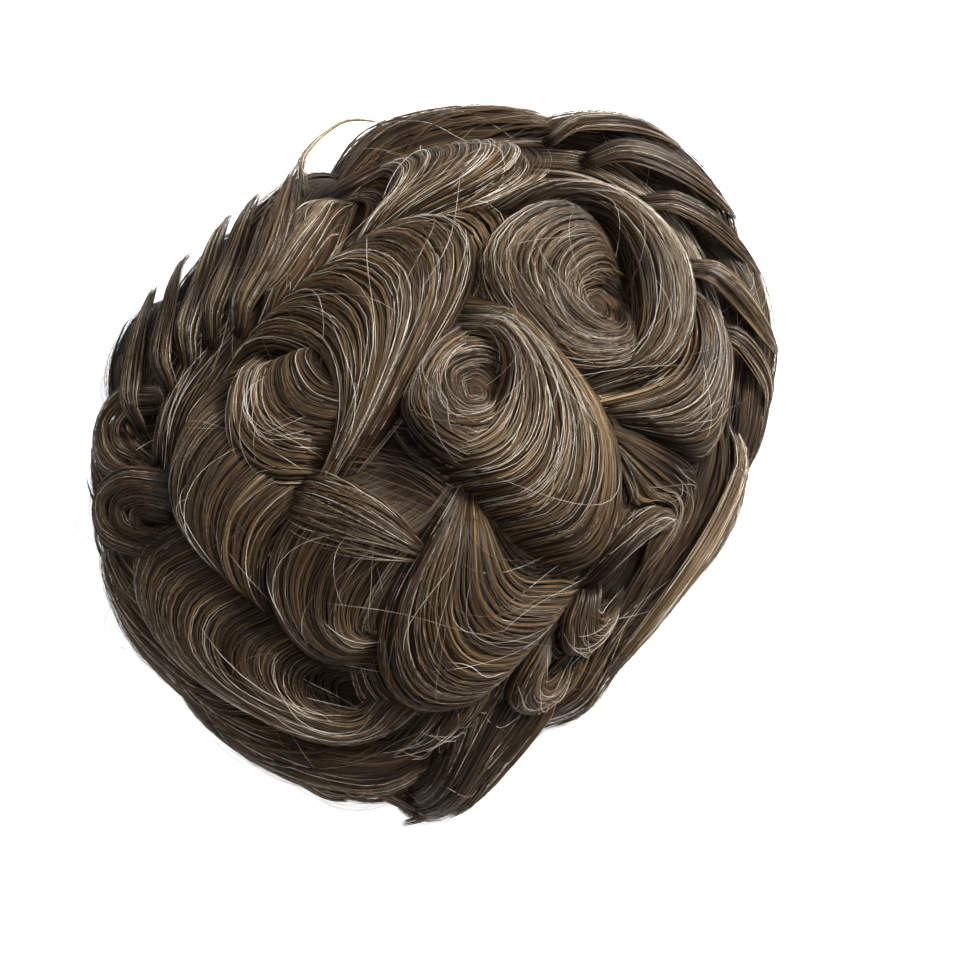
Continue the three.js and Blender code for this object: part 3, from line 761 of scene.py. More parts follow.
def body_part(body, tone):
    """A body as a part of a mass, in a tone of its own and with the patches of painted light and shade."""
    points, faces, combed = body
    return points, faces, combed, tone + painted_light_and_shade(points)


def ribbon_part(lines, radius, tone):
    """Ribbons along lines as a part of a mass, with a tone for each point of a line."""
    points, faces, combed, _ = tubes(lines, radius, RIBBON_FLATNESS)
    return points, faces, combed, np.repeat(tone.ravel(), 3)


def mass_piece(name, parts):
    """One joined piece of parts, each with its points, its faces, its combed places and its tones."""
    starts = np.cumsum([0] + [len(part[0]) for part in parts])
    piece = mesh_object(
        name,
        np.concatenate([points for points, _, _, _ in parts]),
        [face + start for (_, faces, _, _), start in zip(parts, starts) for face in faces],
        combed=np.concatenate([combed for _, _, combed, _ in parts]),
        tone=np.concatenate([tone for _, _, _, tone in parts]),
    )
    piece.data.materials.append(mass)
    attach(piece, "root")
    return piece


# Human hair, washed and combed: each hair has its own tone, from near black through brown and golden brown
# to grey and white, with a soft satin gloss along its length. Its colour is painted darker at its root and
# tip, as painted shade where it meets the other hairs. tone picks the colour, and along is 0 at the root and
# 1 at the tip. The tone changes over about 9 mm.
hair = new_material("human hair, brown and grey")
hair_tone = add_node(hair, "ShaderNodeAttribute", attribute_name="tone").outputs["Fac"]
hair_along = add_node(hair, "ShaderNodeAttribute", attribute_name="along").outputs["Fac"]
hair_place = add_node(hair, "ShaderNodeTexCoord").outputs["Object"]
hair_own = add_node(hair, "ShaderNodeVectorMath", {0: (9.0, 5.0, 7.0), 3: hair_tone}, operation="SCALE")
hair_apart = add_node(
    hair, "ShaderNodeVectorMath", {0: hair_place, 1: hair_own.outputs[0]}, operation="ADD"
)
hair_gleam = add_node(
    hair,
    "ShaderNodeTexNoise",
    {"Vector": hair_apart.outputs[0], "Scale": 110.0, "Detail": 2.0, "Roughness": 0.6},
)
hair_patch = add_node(
    hair, "ShaderNodeMapRange", {0: hair_gleam.outputs["Fac"], 1: 0.34, 2: 0.66, 3: -0.22, 4: 0.2}
)
hair_mixed = add_node(hair, "ShaderNodeMath", {0: hair_tone, 1: hair_patch.outputs[0]}, operation="ADD")
hair_browns = [(0.0, "#1c130d"), (0.3, "#433425"), (0.55, "#6b563f"), (0.74, "#90795a")]
hair_greys = [(0.82, "#978b77"), (1.0, "#e2dbce")]
hair_colors = add_node(
    hair, "ShaderNodeValToRGB", {"Fac": hair_mixed.outputs["Value"]}, stops=hair_browns + hair_greys
)
# Painted shade: each hair darker at its root and tip, where it meets the others.
painted_root_shade = [(0.0, "#343434"), (0.12, "#d8d8d8"), (0.2, "#ffffff")]
painted_tip_shade = [(0.92, "#ffffff"), (1.0, "#6c645c")]
hair_painted_end_shade = add_node(hair, "ShaderNodeValToRGB", {"Fac": hair_along}, stops=painted_root_shade + painted_tip_shade)
hair_color = add_node(
    hair,
    "ShaderNodeMix",
    {0: 1.0, 6: hair_colors.outputs["Color"], 7: hair_painted_end_shade.outputs["Color"]},
    data_type="RGBA",
    blend_type="MULTIPLY",
)
hair_shader = add_node(
    hair,
    "ShaderNodeBsdfPrincipled",
    {
        "Base Color": hair_color.outputs[2],
        "Roughness": 0.36,
        "IOR": 1.55,
        "Specular IOR Level": 0.55,
        "Specular Tint": linear("#fbf3e8"),
    },
)
add_node(hair, "ShaderNodeOutputMaterial", {"Surface": hair_shader.outputs["BSDF"]})

# Strands lie on each lock over its ribbons. A strand is as thick as two or three hairs, so that it shows in
# a picture, and a ribbon stands for a flat bundle of hairs about two millimetres wide. On the real one each
# lock is wetted, rolled and set. Some strands lie past the lock's edges and fill the valley beside it.
STRAND_RADIUS = 0.08
STRAND_VARIES = (0.75, 1.2)
COVER = 0.62
CROWN_SPREAD = 0.22
NARROW_LOCKS = {"right_swirl_bowl": 0.03, "back_left_wave": 0.1}
MOST_STATIONS = {"back_left_wave": 22}
CROWN_CLUMP = 1.4
RIM_CLUMP = 2.0
RIM_CLUMP_COVER = 1.5
RIM_CLUMP_SPREAD = 2.6
CROWN_GREY = 0.16
RIM_GREY = 0.1
GREY_PER_PAINTED_LIGHT = 1.3
ROOT_SINK = 0.7
RIBBON_UNDER = 0.35
LINE_CLEAR = 0.35


def tones(draw, count, grey):
    """The strands' tones: mostly browns, with a share of grey and white ones."""
    brown = 0.08 + 0.66 * draw.beta(1.7, 2.3, count)
    return np.where(draw.random(count) < grey, 0.8 + 0.2 * draw.random(count), brown)


def strands_piece(name, lines, radius, tone):
    """One piece of strands along lines, with a tone for each point of a line."""
    points, faces, _, along = tubes(lines, radius, 1.0)
    piece = mesh_object(name, points, faces, tone=np.repeat(tone.ravel(), 3), along=along)
    piece.data.materials.append(hair)
    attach(piece, "root")
    return piece


def crown_flow(draw, clump, clumps, spread, t, past):
    """The places down and across a crown lock of strands that run along it. Each clump has its own line
    across the lock and its own slight swing. A fifth of the strands are short, and one in ten strays. past
    is how far they lie past the lock's edges, as a share of its width."""
    count = len(clump)
    swing = draw.uniform(0, 2 * np.pi, clumps)[clump][:, None]
    own = draw.uniform(0, 2 * np.pi, count)[:, None]
    seat = ((clump + 0.5 + spread * draw.normal(0, 0.42, count)) / clumps)[:, None]
    begin = -END_PAST + 0.1 * draw.random(count)[:, None] ** 1.5
    finish = 1 + END_PAST - 0.1 * draw.random(count)[:, None] ** 1.5
    short = draw.random(count)[:, None] < 0.2 * spread
    begin = np.where(short, draw.uniform(-0.1, 0.5, count)[:, None], begin)
    finish = np.where(short, begin + draw.uniform(0.35, 0.55, count)[:, None], finish)
    down = begin + (finish - begin) * t
    wave = (0.42 * np.sin(5 * down + swing) + spread * 0.25 * np.sin(6 * down + own)) / clumps
    across = (1 + 2 * past) * seat - past + wave
    far = np.where(draw.random(count) < 0.1, 0.28, 0.04)
    stray = (spread * far * draw.normal(0, 1, count))[:, None]
    across = np.clip(across + stray * (t - 0.5), -past, 1 + past)
    layer = draw.uniform(-0.3, 0.3, clumps)[clump][:, None]
    lift = layer + spread * (-0.5 + 1.1 * draw.random(count))[:, None] + 0.15 * np.sin(8 * t + own)
    return down, across, lift


# How the hair runs at the rim, lock by lock: the length of a strand as a share of the lock's, how far it
# moves from the top edge to the table on its way, and how far its tip stands out, in millimetres.
RIM_FLOWS = {
    "back_tuft": (1.0, 0.5, 1.5),
    "back_rim": (0.8, 0.35, 1.5),
    "front_rim_left": (0.9, 0.25, 2.0),
    "front_rim_right": (0.8, 0.1, 2.5),
    "right_front_rim": (1.2, 0.15, 2.5),
    "right_rim": (1.1, 0.15, 2.0),
    "right_rim_rope": (0.7, 0.15, 1.0),
    "right_back_rim": (1.1, 0.5, 1.5),
    "left_rim_loop": (1.1, 0.7, 2.0),
    "left_rim": (1.2, 0.4, 2.0),
    "left_back_rim": (0.9, 0.4, 2.0),
    "left_front_lock": (1.3, 0.1, 2.0),
    "left_front_twist": (1.3, 0.1, 2.0),
}


def rim_flow(draw, clump, clumps, spread, t, flow, share):
    """The places down and across a rim lock of strands that run along the rim and outward to the table. A
    clump narrows to a pointed tip that stands out, and lies higher or lower than the next. share is how wide
    a clump is at its roots, as a share of the lock's width."""
    run, drift, flare = flow
    count = len(clump)
    past = 0.2
    begin = draw.uniform(-past - 0.35 * run, 1 + past - 0.65 * run, clumps)[clump]
    begin = (begin + spread * draw.normal(0, 0.06 * run, count))[:, None]
    first = np.clip((-past - begin) / run, 0, 1)
    last = np.clip((1 + past - begin) / run, 0, 1)
    part = first + (last - first) * t
    seat = draw.uniform(0.3 * drift, 1.12, clumps)[clump][:, None]
    swing = draw.uniform(0, 2 * np.pi, clumps)[clump][:, None]
    own = spread * draw.normal(0, 0.5, count)[:, None]
    across = seat + drift * (0.5 - part**1.4) + 0.05 * np.sin(4 * part + swing)
    across = across + own * share * (1 - 0.8 * part**2)
    layer = draw.uniform(-0.6, 1.6, clumps)[clump][:, None]
    tip = draw.uniform(0, flare, clumps)[clump][:, None] * part**3
    lift = layer + tip + spread * draw.normal(0, 0.35, count)[:, None]
    return begin + run * part, np.maximum(across, 0.0), lift


def lock_measures(zone, rows):
    """A lock's length and width on its top sheet, in millimetres, and how far it bends, in degrees: the sum
    of the angles between one step along it and the next."""
    down, across = np.meshgrid(np.linspace(0, 1, 24), np.linspace(0, 1, 9), indexing="ij")
    sheet = on_lock(zone, rows, down, across, 0.0)
    steps = np.diff(sheet, axis=0)
    length = np.linalg.norm(steps, axis=-1).sum(0).mean()
    width = np.linalg.norm(np.diff(sheet, axis=1), axis=-1).sum(1).mean()
    heads = steps / np.linalg.norm(steps, axis=-1, keepdims=True)
    cosine = np.clip((heads[1:] * heads[:-1]).sum(-1), -1, 1)
    return length, width, np.degrees(np.arccos(cosine)).sum(0).mean()


def lock_lines(zone, lock, rows, width, clump, clumps, spread, t):
    """Lines on a lock's sheet that sink into it at their roots. A spread of 0 gives one for each clump, a
    little lower, for the ribbons, and a spread of 1 gives the strands."""
    draw = np.random.default_rng(sum(map(ord, lock)) + 1)
    if zone in RIM_ZONES:
        flow, share = RIM_FLOWS[lock], RIM_CLUMP_SPREAD / width
        down, across, lift = rim_flow(draw, clump, clumps, spread, t, flow, share)
    else:
        past = NARROW_LOCKS.get(lock, CROWN_SPREAD)
        down, across, lift = crown_flow(draw, clump, clumps, spread, t, past)
    sunk = ROOT_SINK * (1 - smooth(t / 0.1))
    under = RIBBON_UNDER if spread == 0 else 0.0
    lines = on_lock(zone, rows, down, across, lift - sunk - under - SETTLED.get(lock, 0.0))
    lines[..., 2] = np.maximum(lines[..., 2], LINE_CLEAR)
    return lines


def dress_lock(zone, lock, rows):
    """Makes a lock's piece of strands, and returns its ribbons as a part of the zone's mass. Longer and more
    curved strands get more stations. Enough strands lie side by side to cover a share of the lock."""
    draw = np.random.default_rng(sum(map(ord, lock)))
    rim = zone in RIM_ZONES
    length, width, bends = lock_measures(zone, rows)
    run = length * RIM_FLOWS[lock][0] if rim else length
    stations = int(np.clip(3 + bends / 12 + run / 14, 8, MOST_STATIONS.get(lock, 17)))
    t = np.linspace(0, 1, stations)[None, :]
    crown_clumps = max(4, round(width / CROWN_CLUMP))
    clumps = int(RIM_CLUMP_COVER * length * width / (run * RIM_CLUMP)) if rim else crown_clumps
    count = int(COVER * length * width / (run * 2 * STRAND_RADIUS))

    lines = lock_lines(zone, lock, rows, width, np.arange(clumps), clumps, 0.0, t)
    radius = draw.uniform(*WIDE_RIBBONS, clumps)
    # Rim ribbons are darker. The settled locks' ribbons, and their strands below, are painted darker, as
    # painted shade under the loose locks that cover them.
    tone = (0.4 if rim else 0.5) - (0.3 if lock in SETTLED else 0) + draw.normal(0, 0.2, clumps)
    ribbons = ribbon_part(lines, radius, tone[:, None] + painted_light_and_shade(lines))

    clump = draw.integers(0, clumps, count)
    lines = lock_lines(zone, lock, rows, width, clump, clumps, 1.0, t)
    # The patches' painted light and shade change each strand's tone, and the painted highlights also add
    # grey hairs.
    shade = painted_light_and_shade(lines)
    grey = (RIM_GREY if rim else CROWN_GREY) + GREY_PER_PAINTED_LIGHT * np.maximum(shade.mean(1), -0.08)
    tone = tones(draw, count, grey)
    tone += draw.normal(0, 0.06, clumps)[clump] - (0.08 if rim else 0) - (0.16 if lock in SETTLED else 0)
    radius = STRAND_RADIUS * draw.uniform(*STRAND_VARIES, count)
    strands_piece(lock + "_strands", lines, radius, np.clip(tone[:, None] + shade, 0, 1))
    return ribbons


# The eyes of the swirls. The left one's is a shallow lock, in rows like the others. Here the hair of the
# real one is turned round a finger and pinned while it is wet.
FILLS = {
    "left_swirl_eye": [
        [-0.36, -0.11, -0.27, -0.02, 0.66],
        [-0.354, -0.15, -0.26, -0.05, 0.74],
        [-0.312, -0.2, -0.22, -0.06, 0.76],
        [-0.247, -0.225, -0.18, -0.06, 0.76],
        [-0.165, -0.212, -0.15, -0.05, 0.74],
        [-0.09, -0.17, -0.11, -0.04, 0.68],
    ],
}
# The two other eyes are round whorls: the place of the middle, the reach of the outer ring across and along,
# the lift in the middle and at the outer ring in millimetres, and the bearing of the open side in degrees.
# There the whorl stays low and runs in under the swirl's overhanging edge, in its shadow, and its strands
# and ribbons are painted darker there, as painted shade.
WHORLS = {
    "right_swirl_eye": (0.175, 0.335, 0.15, 0.12, 13.5, 19.4, 72.0),
    "crown_eye": (0.072, 0.05, 0.1, 0.08, 15.5, 20.8, 75.0),
}
WHORL_UNDER = 1.2
WHORL_STRANDS = 3000
WHORL_STATIONS = 14


def open_share(whorl, turn):
    """1 on a whorl's open side, and 0 on the far side."""
    return (0.5 + 0.5 * np.cos(turn - np.radians(whorl[6]))) ** 2


def whorl_lift(whorl, ring, turn):
    """How high a whorl lies: higher from its middle outward, but for its open side, and lower past its
    edge."""
    low, high = whorl[4:6]
    pit = open_share(whorl, turn)
    swell = low + (high - low) * smooth(ring) * (1 - 0.8 * pit)
    return swell - 4.0 * pit * smooth(2 * ring) - 3.5 * smooth((ring - 0.8) / 0.4)


def whorl_lines(draw, whorl, count, t):
    """Strands of a whorl, and their painted shade: darker on the open side, in the overhang's shadow, and
    towards the sunken middle. They come out from the open side, wind round and inward, and most end there
    again."""
    middle_across, middle_along, wide, long = whorl[:4]
    begin = draw.uniform(0.1, 2.4, count)[:, None] ** 1.3
    finish = begin + draw.uniform(2.2, 5.0, count)[:, None]
    finish = np.minimum(finish, draw.uniform(5.2, 6.2, count)[:, None])
    turn = np.radians(whorl[6]) + begin + (finish - begin) * t
    ring = np.sqrt(draw.uniform(0.05, 1.3, count))[:, None] * (1.15 - 0.45 * t)
    ring = ring + 0.03 * np.sin(4 * turn + begin)
    shift = draw.normal(0, 0.06, (2, count, 1)) * (0.3 + ring)
    lift = whorl_lift(whorl, ring, turn) + draw.uniform(-0.6, 0.6, count)[:, None]
    across = middle_across + wide * (ring * np.cos(turn) + shift[0])
    lines = over_cap(across, middle_along + long * (ring * np.sin(turn) + shift[1]), lift)
    return lines, -0.3 * open_share(whorl, turn) - 0.12 * (1 - np.minimum(ring, 1))


def whorl_body(whorl):
    """The body under a whorl: a closed round cushion. Returns its points, its faces and its combed place."""
    middle_across, middle_along, wide, long = whorl[:4]
    rings, spokes = 12, 48
    ring = np.linspace(0.05, 1, rings)[:, None]
    turn = np.arange(spokes)[None, :] / spokes * 2 * np.pi
    lift = whorl_lift(whorl, ring, turn) - WHORL_UNDER - 5.0 * smooth((ring - 0.6) / 0.4)
    across, along = middle_across + wide * ring * np.cos(turn), middle_along + long * ring * np.sin(turn)
    top = over_cap(across, along, lift * np.ones_like(turn))
    base = over_cap(across, along, np.full(across.shape, ROOT_LIFT))[::-1]
    points = np.concatenate([top.reshape(-1, 3), base.reshape(-1, 3)])
    spoke = np.arange(spokes)
    after = (spoke + 1) % spokes
    pole_lifts = np.array([whorl[4] - WHORL_UNDER, ROOT_LIFT])
    pole = over_cap(np.full(2, middle_across), np.full(2, middle_along), pole_lifts)
    last = (2 * rings - 1) * spokes
    faces = [
        ring_faces(2 * rings, spokes),
        np.stack([np.full(spokes, len(points)), spoke, after], -1),
        np.stack([np.full(spokes, len(points) + 1), last + after, last + spoke], -1),
    ]
    around = np.concatenate([np.broadcast_to(turn, ring.shape[:1] + turn.shape[1:])] * 2) * 12
    outward = np.concatenate([np.broadcast_to(ring, around[:rings].shape)] * 2) * 14
    combed = np.stack([around, outward, 0 * around], -1).reshape(-1, 3)
    return np.concatenate([points, pole]), faces, np.vstack([combed, np.zeros((2, 3))])


def dress_whorl(lock, whorl):
    """Makes a whorl's piece of strands, and returns its ribbons as a part of the zone's mass. It has
    WHORL_STRANDS strands for a reach of 1 across, so a small whorl has fewer."""
    draw = np.random.default_rng(sum(map(ord, lock)))
    t = np.linspace(0, 1, WHORL_STATIONS)[None, :]
    count = int(WHORL_STRANDS * whorl[2])
    lines, shade = whorl_lines(draw, whorl, count // 8, t)
    radius = draw.uniform(*NARROW_RIBBONS, len(lines))
    tone = 0.45 + draw.normal(0, 0.2, len(lines))[:, None] + shade + painted_light_and_shade(lines)
    ribbons = ribbon_part(lines - [0, 0, 0.3], radius, tone)
    lines, shade = whorl_lines(draw, whorl, count, t)
    radius = STRAND_RADIUS * draw.uniform(*STRAND_VARIES, count)
    tone = tones(draw, count, CROWN_GREY)[:, None] + shade + painted_light_and_shade(lines)
    strands_piece(lock + "_strands", lines, radius, np.clip(tone, 0, 1))
    return ribbons


# Each zone gets its bodies, its ribbons and its strands. The eyes of the swirls are in the top zone.
for zone, locks in LOCKS.items():
    locks = {**locks, **(FILLS if zone == "top_hair" else {})}
    whorls = WHORLS if zone == "top_hair" else {}
    parts = [body_part(under_body(*UNDER_PATCHES[zone]), 0.0)]
    parts += [body_part(lock_body(zone, lock, rows), BODY_TONE) for lock, rows in locks.items()]
    parts += [dress_lock(zone, lock, rows) for lock, rows in locks.items()]
    parts += [body_part(whorl_body(whorl), BODY_TONE) for whorl in whorls.values()]
    parts += [dress_whorl(lock, whorl) for lock, whorl in whorls.items()]
    zone_mass = mass_piece(zone + "_mass", parts)
    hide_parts(zone)

# Loose locks: pointed tips, feathers and curls that stand clear of the mass at the edge, a fan and stray
# hairs in the valleys. They are the ends of real locks, held by nothing but their own roots and a little
# wax. A row gives a place over the cap, the lift and half the lock's width there, in millimetres. Each lock
# has its number of strands and of ribbons, and its shift of tone.
LOOSE_LOCKS = {
    "left_feather_1": (70, 11, -0.22, [
        [-0.625, -0.406, 19, 3], [-0.667, -0.332, 22, 5], [-0.76, -0.244, 23, 4.6],
        [-0.87, -0.156, 24, 3.4], [-0.905, -0.1, 25.6, 2.2],
    ]),
    "left_feather_2": (60, 10, -0.12, [
        [-0.593, -0.289, 18, 3], [-0.645, -0.218, 21, 4.5], [-0.73, -0.125, 22, 4],
        [-0.84, -0.04, 22.5, 3], [-0.92, 0.018, 22.3, 1.8],
    ]),
    "left_feather_3": (70, 11, 0.08, [
        [-0.583, -0.224, 18, 3], [-0.615, -0.134, 21, 5], [-0.67, -0.045, 21.5, 4.3],
        [-0.76, 0.05, 21.5, 3.4], [-0.88, 0.165, 21.3, 1.8],
    ]),
    "left_feather_4": (70, 11, -0.18, [
        [-0.551, -0.163, 18, 3], [-0.58, -0.07, 21, 5], [-0.62, 0.015, 21.5, 4.3],
        [-0.69, 0.11, 22, 3.4], [-0.805, 0.225, 20.6, 1.6],
    ]),
    "left_feather_5": (90, 15, -0.05, [
        [-0.498, -0.11, 18, 3], [-0.504, -0.026, 20, 5.5], [-0.52, 0.06, 22, 6.5],
        [-0.6, 0.17, 22.5, 5.5], [-0.74, 0.32, 21.5, 2.5],
    ]),
    "left_inner_twist": (60, 10, 0.15, [
        [-0.521, 0.254, 20, 2], [-0.476, 0.183, 21.5, 3], [-0.462, 0.111, 22, 4],
        [-0.459, 0.036, 20, 3.5], [-0.474, -0.025, 18, 1],
    ]),
    "left_thin_loop": (44, 4, 0.2, [
        [-0.63, 0.23, 22, 2.2], [-0.7, 0.32, 23.5, 1.9], [-0.745, 0.43, 25, 1.7],
        [-0.715, 0.49, 25.6, 1.6], [-0.66, 0.56, 20, 2.2],
    ]),
    "left_curl_1": (110, 18, 0.0, [
        [-0.639, -0.298, 18, 3], [-0.726, -0.37, 21.5, 4], [-0.745, -0.456, 22.5, 4.5],
        [-0.634, -0.496, 21, 4], [-0.505, -0.471, 16, 2],
    ]),
    "left_curl_5": (60, 10, -0.2, [
        [-0.655, -0.325, 15, 3], [-0.705, -0.385, 18, 3.6], [-0.712, -0.44, 18.5, 3.6],
        [-0.65, -0.465, 17.5, 3.2], [-0.56, -0.45, 13, 2],
    ]),
    "bottom_left_tip_1": (60, 10, -0.05, [
        [-0.294, -0.808, 9, 3], [-0.144, -0.909, 9, 4.2], [0.017, -0.98, 12, 3.6],
        [0.113, -0.994, 13.5, 2.2],
    ]),
    "bottom_left_tip_2": (60, 10, 0.08, [
        [0.031, -0.899, 8, 3], [0.224, -0.933, 12, 4], [0.383, -0.924, 18.6, 3.2],
        [0.459, -0.9, 19.5, 2.2],
    ]),
    "bottom_tip_3": (60, 10, -0.05, [
        [0.359, -0.847, 10, 3], [0.492, -0.836, 16, 3.6], [0.595, -0.804, 23, 2.8],
        [0.628, -0.785, 24, 2.2],
    ]),
    "left_curl_2": (90, 14, -0.06, [
        [-0.417, -0.424, 17, 3], [-0.53, -0.489, 21, 3.2], [-0.58, -0.575, 22, 3.4],
        [-0.5, -0.618, 21, 3.4], [-0.371, -0.582, 13, 3],
    ]),
    "left_curl_3": (90, 14, -0.16, [
        [-0.385, -0.45, 15, 3], [-0.48, -0.495, 18, 3.6], [-0.522, -0.553, 19, 3.8],
        [-0.465, -0.588, 18, 3.6], [-0.36, -0.55, 12, 3],
    ]),
    "left_curl_4": (50, 8, -0.25, [
        [-0.38, -0.49, 14, 3], [-0.44, -0.51, 15.5, 3.4], [-0.465, -0.545, 16, 3.4],
        [-0.43, -0.57, 15, 3], [-0.36, -0.54, 11, 2.5],
    ]),
    "right_feather_1": (90, 15, 0.05, [
        [-0.228, 0.683, 17, 3], [-0.132, 0.77, 22.5, 5.5], [-0.023, 0.86, 25.5, 4.5],
        [0.089, 0.926, 27, 1],
    ]),
    "right_feather_2": (110, 18, -0.1, [
        [-0.103, 0.66, 18.5, 3], [0.035, 0.76, 22, 6], [0.198, 0.83, 23.3, 5], [0.329, 0.88, 25, 1],
    ]),
    "right_feather_3": (90, 15, -0.15, [
        [0.08, 0.655, 17, 3], [0.229, 0.725, 20, 5], [0.37, 0.776, 21.5, 4], [0.479, 0.797, 24, 1],
    ]),
    "right_feather_4": (90, 15, 0.05, [
        [0.284, 0.596, 17.5, 3], [0.419, 0.634, 19.5, 5], [0.564, 0.649, 22, 4],
        [0.658, 0.658, 24.5, 1],
    ]),
    "right_feather_5": (80, 13, -0.15, [
        [0.45, 0.536, 16, 3], [0.575, 0.556, 19.5, 4.5], [0.684, 0.554, 21.5, 4],
        [0.771, 0.52, 20, 1.2],
    ]),
    "right_rope": (120, 20, 0.1, [
        [0.69, 0.5, 13, 2.5], [0.77, 0.38, 17.5, 4], [0.815, 0.25, 17.5, 5], [0.835, 0.12, 16.5, 5],
        [0.85, 0.0, 15, 5], [0.87, -0.156, 14, 4.5], [0.9, -0.301, 13.5, 2.4],
    ]),
    "tuft_tip_1": (110, 16, 0.05, [
        [0.773, -0.377, 9, 3], [0.746, -0.503, 14, 5.5], [0.717, -0.668, 20, 5.5],
        [0.66, -0.79, 25.5, 4.6], [0.6, -0.86, 27.5, 3],
    ]),
    "tuft_tip_2": (90, 14, -0.12, [
        [0.76, -0.3, 10, 3], [0.766, -0.433, 14, 4.5], [0.751, -0.598, 20, 5],
        [0.734, -0.709, 25.5, 4], [0.7, -0.775, 28, 2.4],
    ]),
    "bottom_left_lock": (90, 15, 0.05, [
        [-0.12, -0.86, 9, 3], [-0.047, -0.899, 9.5, 4], [0.108, -0.944, 11, 4.5],
        [0.295, -0.935, 14, 4], [0.5, -0.88, 18, 1],
    ]),
    "valley_fan": (160, 16, 0.04, [
        [-0.13, -0.3, 13, 9], [-0.05, -0.283, 17, 11], [0.04, -0.262, 19, 10], [0.12, -0.247, 19.5, 7],
        [0.2, -0.238, 16, 2.5],
    ]),
    "valley_strays": (26, 0, 0.1, [
        [-0.09, -0.2, 14, 8], [0.01, -0.16, 13, 10], [0.1, -0.14, 14, 9], [0.21, -0.142, 18, 5],
    ]),
}
LOOSE_SINK = 6.0
LOOSE_GREY = 0.14
LOOSE_STATIONS = 14


def loose_lines(draw, rows, count, t):
    """Strands of a loose lock: round its path, spread over its width and half as high as it is wide. They
    come up out of the mass at their roots."""
    path = through(rows, np.clip(t, 0, 1))
    line = over_cap(path[..., 0], path[..., 1], path[..., 2] - LOOSE_SINK * (1 - smooth(t / 0.2)))
    heading = np.gradient(line, axis=1)
    outward = (line - CAP_FOOT) / HALF_SIZES**2
    outward /= np.linalg.norm(outward, axis=-1, keepdims=True)
    side = np.cross(heading, outward)
    side /= np.linalg.norm(side, axis=-1, keepdims=True)
    seat = np.clip(draw.normal(0, 0.5, count), -1, 1)[:, None, None]
    rise = draw.uniform(-0.4, 1, count)[:, None, None] * np.sqrt(1 - seat**2 * 0.99) * 0.5
    half = path[..., 3:4]
    drift = seat + 0.12 * np.sin(5 * t[..., None] + draw.uniform(0, 6.3, count)[:, None, None])
    return line + half * (drift * side + rise * outward)


parts = []
t = np.linspace(0, 1, LOOSE_STATIONS)[None, :]
for lock, (count, bundles, shift, rows) in LOOSE_LOCKS.items():
    draw = np.random.default_rng(sum(map(ord, lock)))
    lines = loose_lines(draw, rows, bundles, t * (1 - 0.12 * draw.random((bundles, 1))))
    radius = draw.uniform(*NARROW_RIBBONS, bundles)
    tone = 0.42 + shift + draw.normal(0, 0.2, bundles)[:, None] + painted_light_and_shade(lines)
    parts.append(ribbon_part(lines - [0, 0, 0.4], radius, tone))
    lines = loose_lines(draw, rows, count, t * (1 - 0.3 * draw.random((count, 1)) ** 1.5))
    radius = STRAND_RADIUS * draw.uniform(*STRAND_VARIES, count)
    tone = tones(draw, count, LOOSE_GREY)[:, None] + shift + painted_light_and_shade(lines)
    strands_piece(lock + "_strands", lines, radius, np.clip(tone, 0, 1))
mass_piece("loose_lock_ribbons", parts)

# Flyaways are single fine hairs, mostly grey, that have come loose from the locks: they cross them and stand
# a little clear. At the rim half of them stand well clear, as frizz round the outline. The stray hairs below
# are long single ones, each as places over the cap and lifts in millimetres.
HAIR_STATIONS = 12
RIM_HAIRS = 26
CROWN_HAIRS = 19
STRAY_HAIRS = [
    [[0.074, -0.419, 21.5], [0.223, -0.35, 23.5], [0.386, -0.302, 25], [0.559, -0.243, 24]],
    [[0.432, -0.28, 24], [0.45, -0.205, 25.5], [0.51, -0.104, 25]],
    [[0.209, 0.146, 23], [0.311, 0.243, 24.5], [0.424, 0.343, 24]],
    [[-0.133, 0.114, 24], [-0.162, 0.24, 24.5], [-0.26, 0.386, 22]],
    [[-0.948, -0.058, 33], [-0.949, -0.041, 29], [-0.928, -0.065, 22]],
    [[-0.245, -0.949, 12], [-0.351, -0.915, 19], [-0.475, -0.857, 21.5], [-0.56, -0.78, 18]],
    [[0.877, -0.39, 9], [0.94, -0.278, 17], [0.969, -0.145, 16.5], [0.95, -0.05, 12]],
    [[-0.832, -0.415, 25], [-0.797, -0.517, 26.8], [-0.738, -0.566, 19.5]],
    [[-0.05, -0.959, 9], [0.138, -0.98, 14], [0.306, -0.942, 17], [0.4, -0.89, 14]],
]
draw = np.random.default_rng(7)
t = np.linspace(0, 1, HAIR_STATIONS)[None, :]
flyaways = [np.stack([over_cap(*through(rows, t[0]).T) for rows in STRAY_HAIRS])]
outside = [np.zeros(len(STRAY_HAIRS), bool)]
for zone, locks in LOCKS.items():
    for lock, rows in locks.items():
        rim = zone in RIM_ZONES
        count = RIM_HAIRS if rim else CROWN_HAIRS
        far = (draw.random((count, 1)) < 0.5) & rim
        begin, across = draw.uniform(0, 0.6, (2, count, 1)) * [[[1]], [[1.4]]]
        across = np.where(far, 0.1 + 0.5 * across, across)
        down = begin + draw.uniform(0.25, 0.7, (count, 1)) * np.where(far, 0.5, 1) * t
        across = across + np.where(far, 0.15, 0.5) * draw.normal(0, 1, (count, 1)) * t
        across = across + 0.12 * np.sin(4 * t + draw.uniform(0, 6.3, (count, 1)))
        clear = draw.uniform(0.2, 2.6, (count, 1)) * np.sin(np.pi * t) ** 0.7
        clear = clear + draw.uniform(0, 1.5, (count, 1)) * t**2
        clear = clear * np.where(far, draw.uniform(1, 3.6, (count, 1)), 1)
        lines = on_lock(zone, rows, down, np.maximum(across, 0), 0.4 + clear - SETTLED.get(lock, 0.0))
        for _ in range(4):
            lines[:, 1:-1] = (lines[:, :-2] + 2 * lines[:, 1:-1] + lines[:, 2:]) / 4
        lines[..., 2] = np.maximum(lines[..., 2], LINE_CLEAR)
        flyaways.append(lines)
        outside.append(far[:, 0])
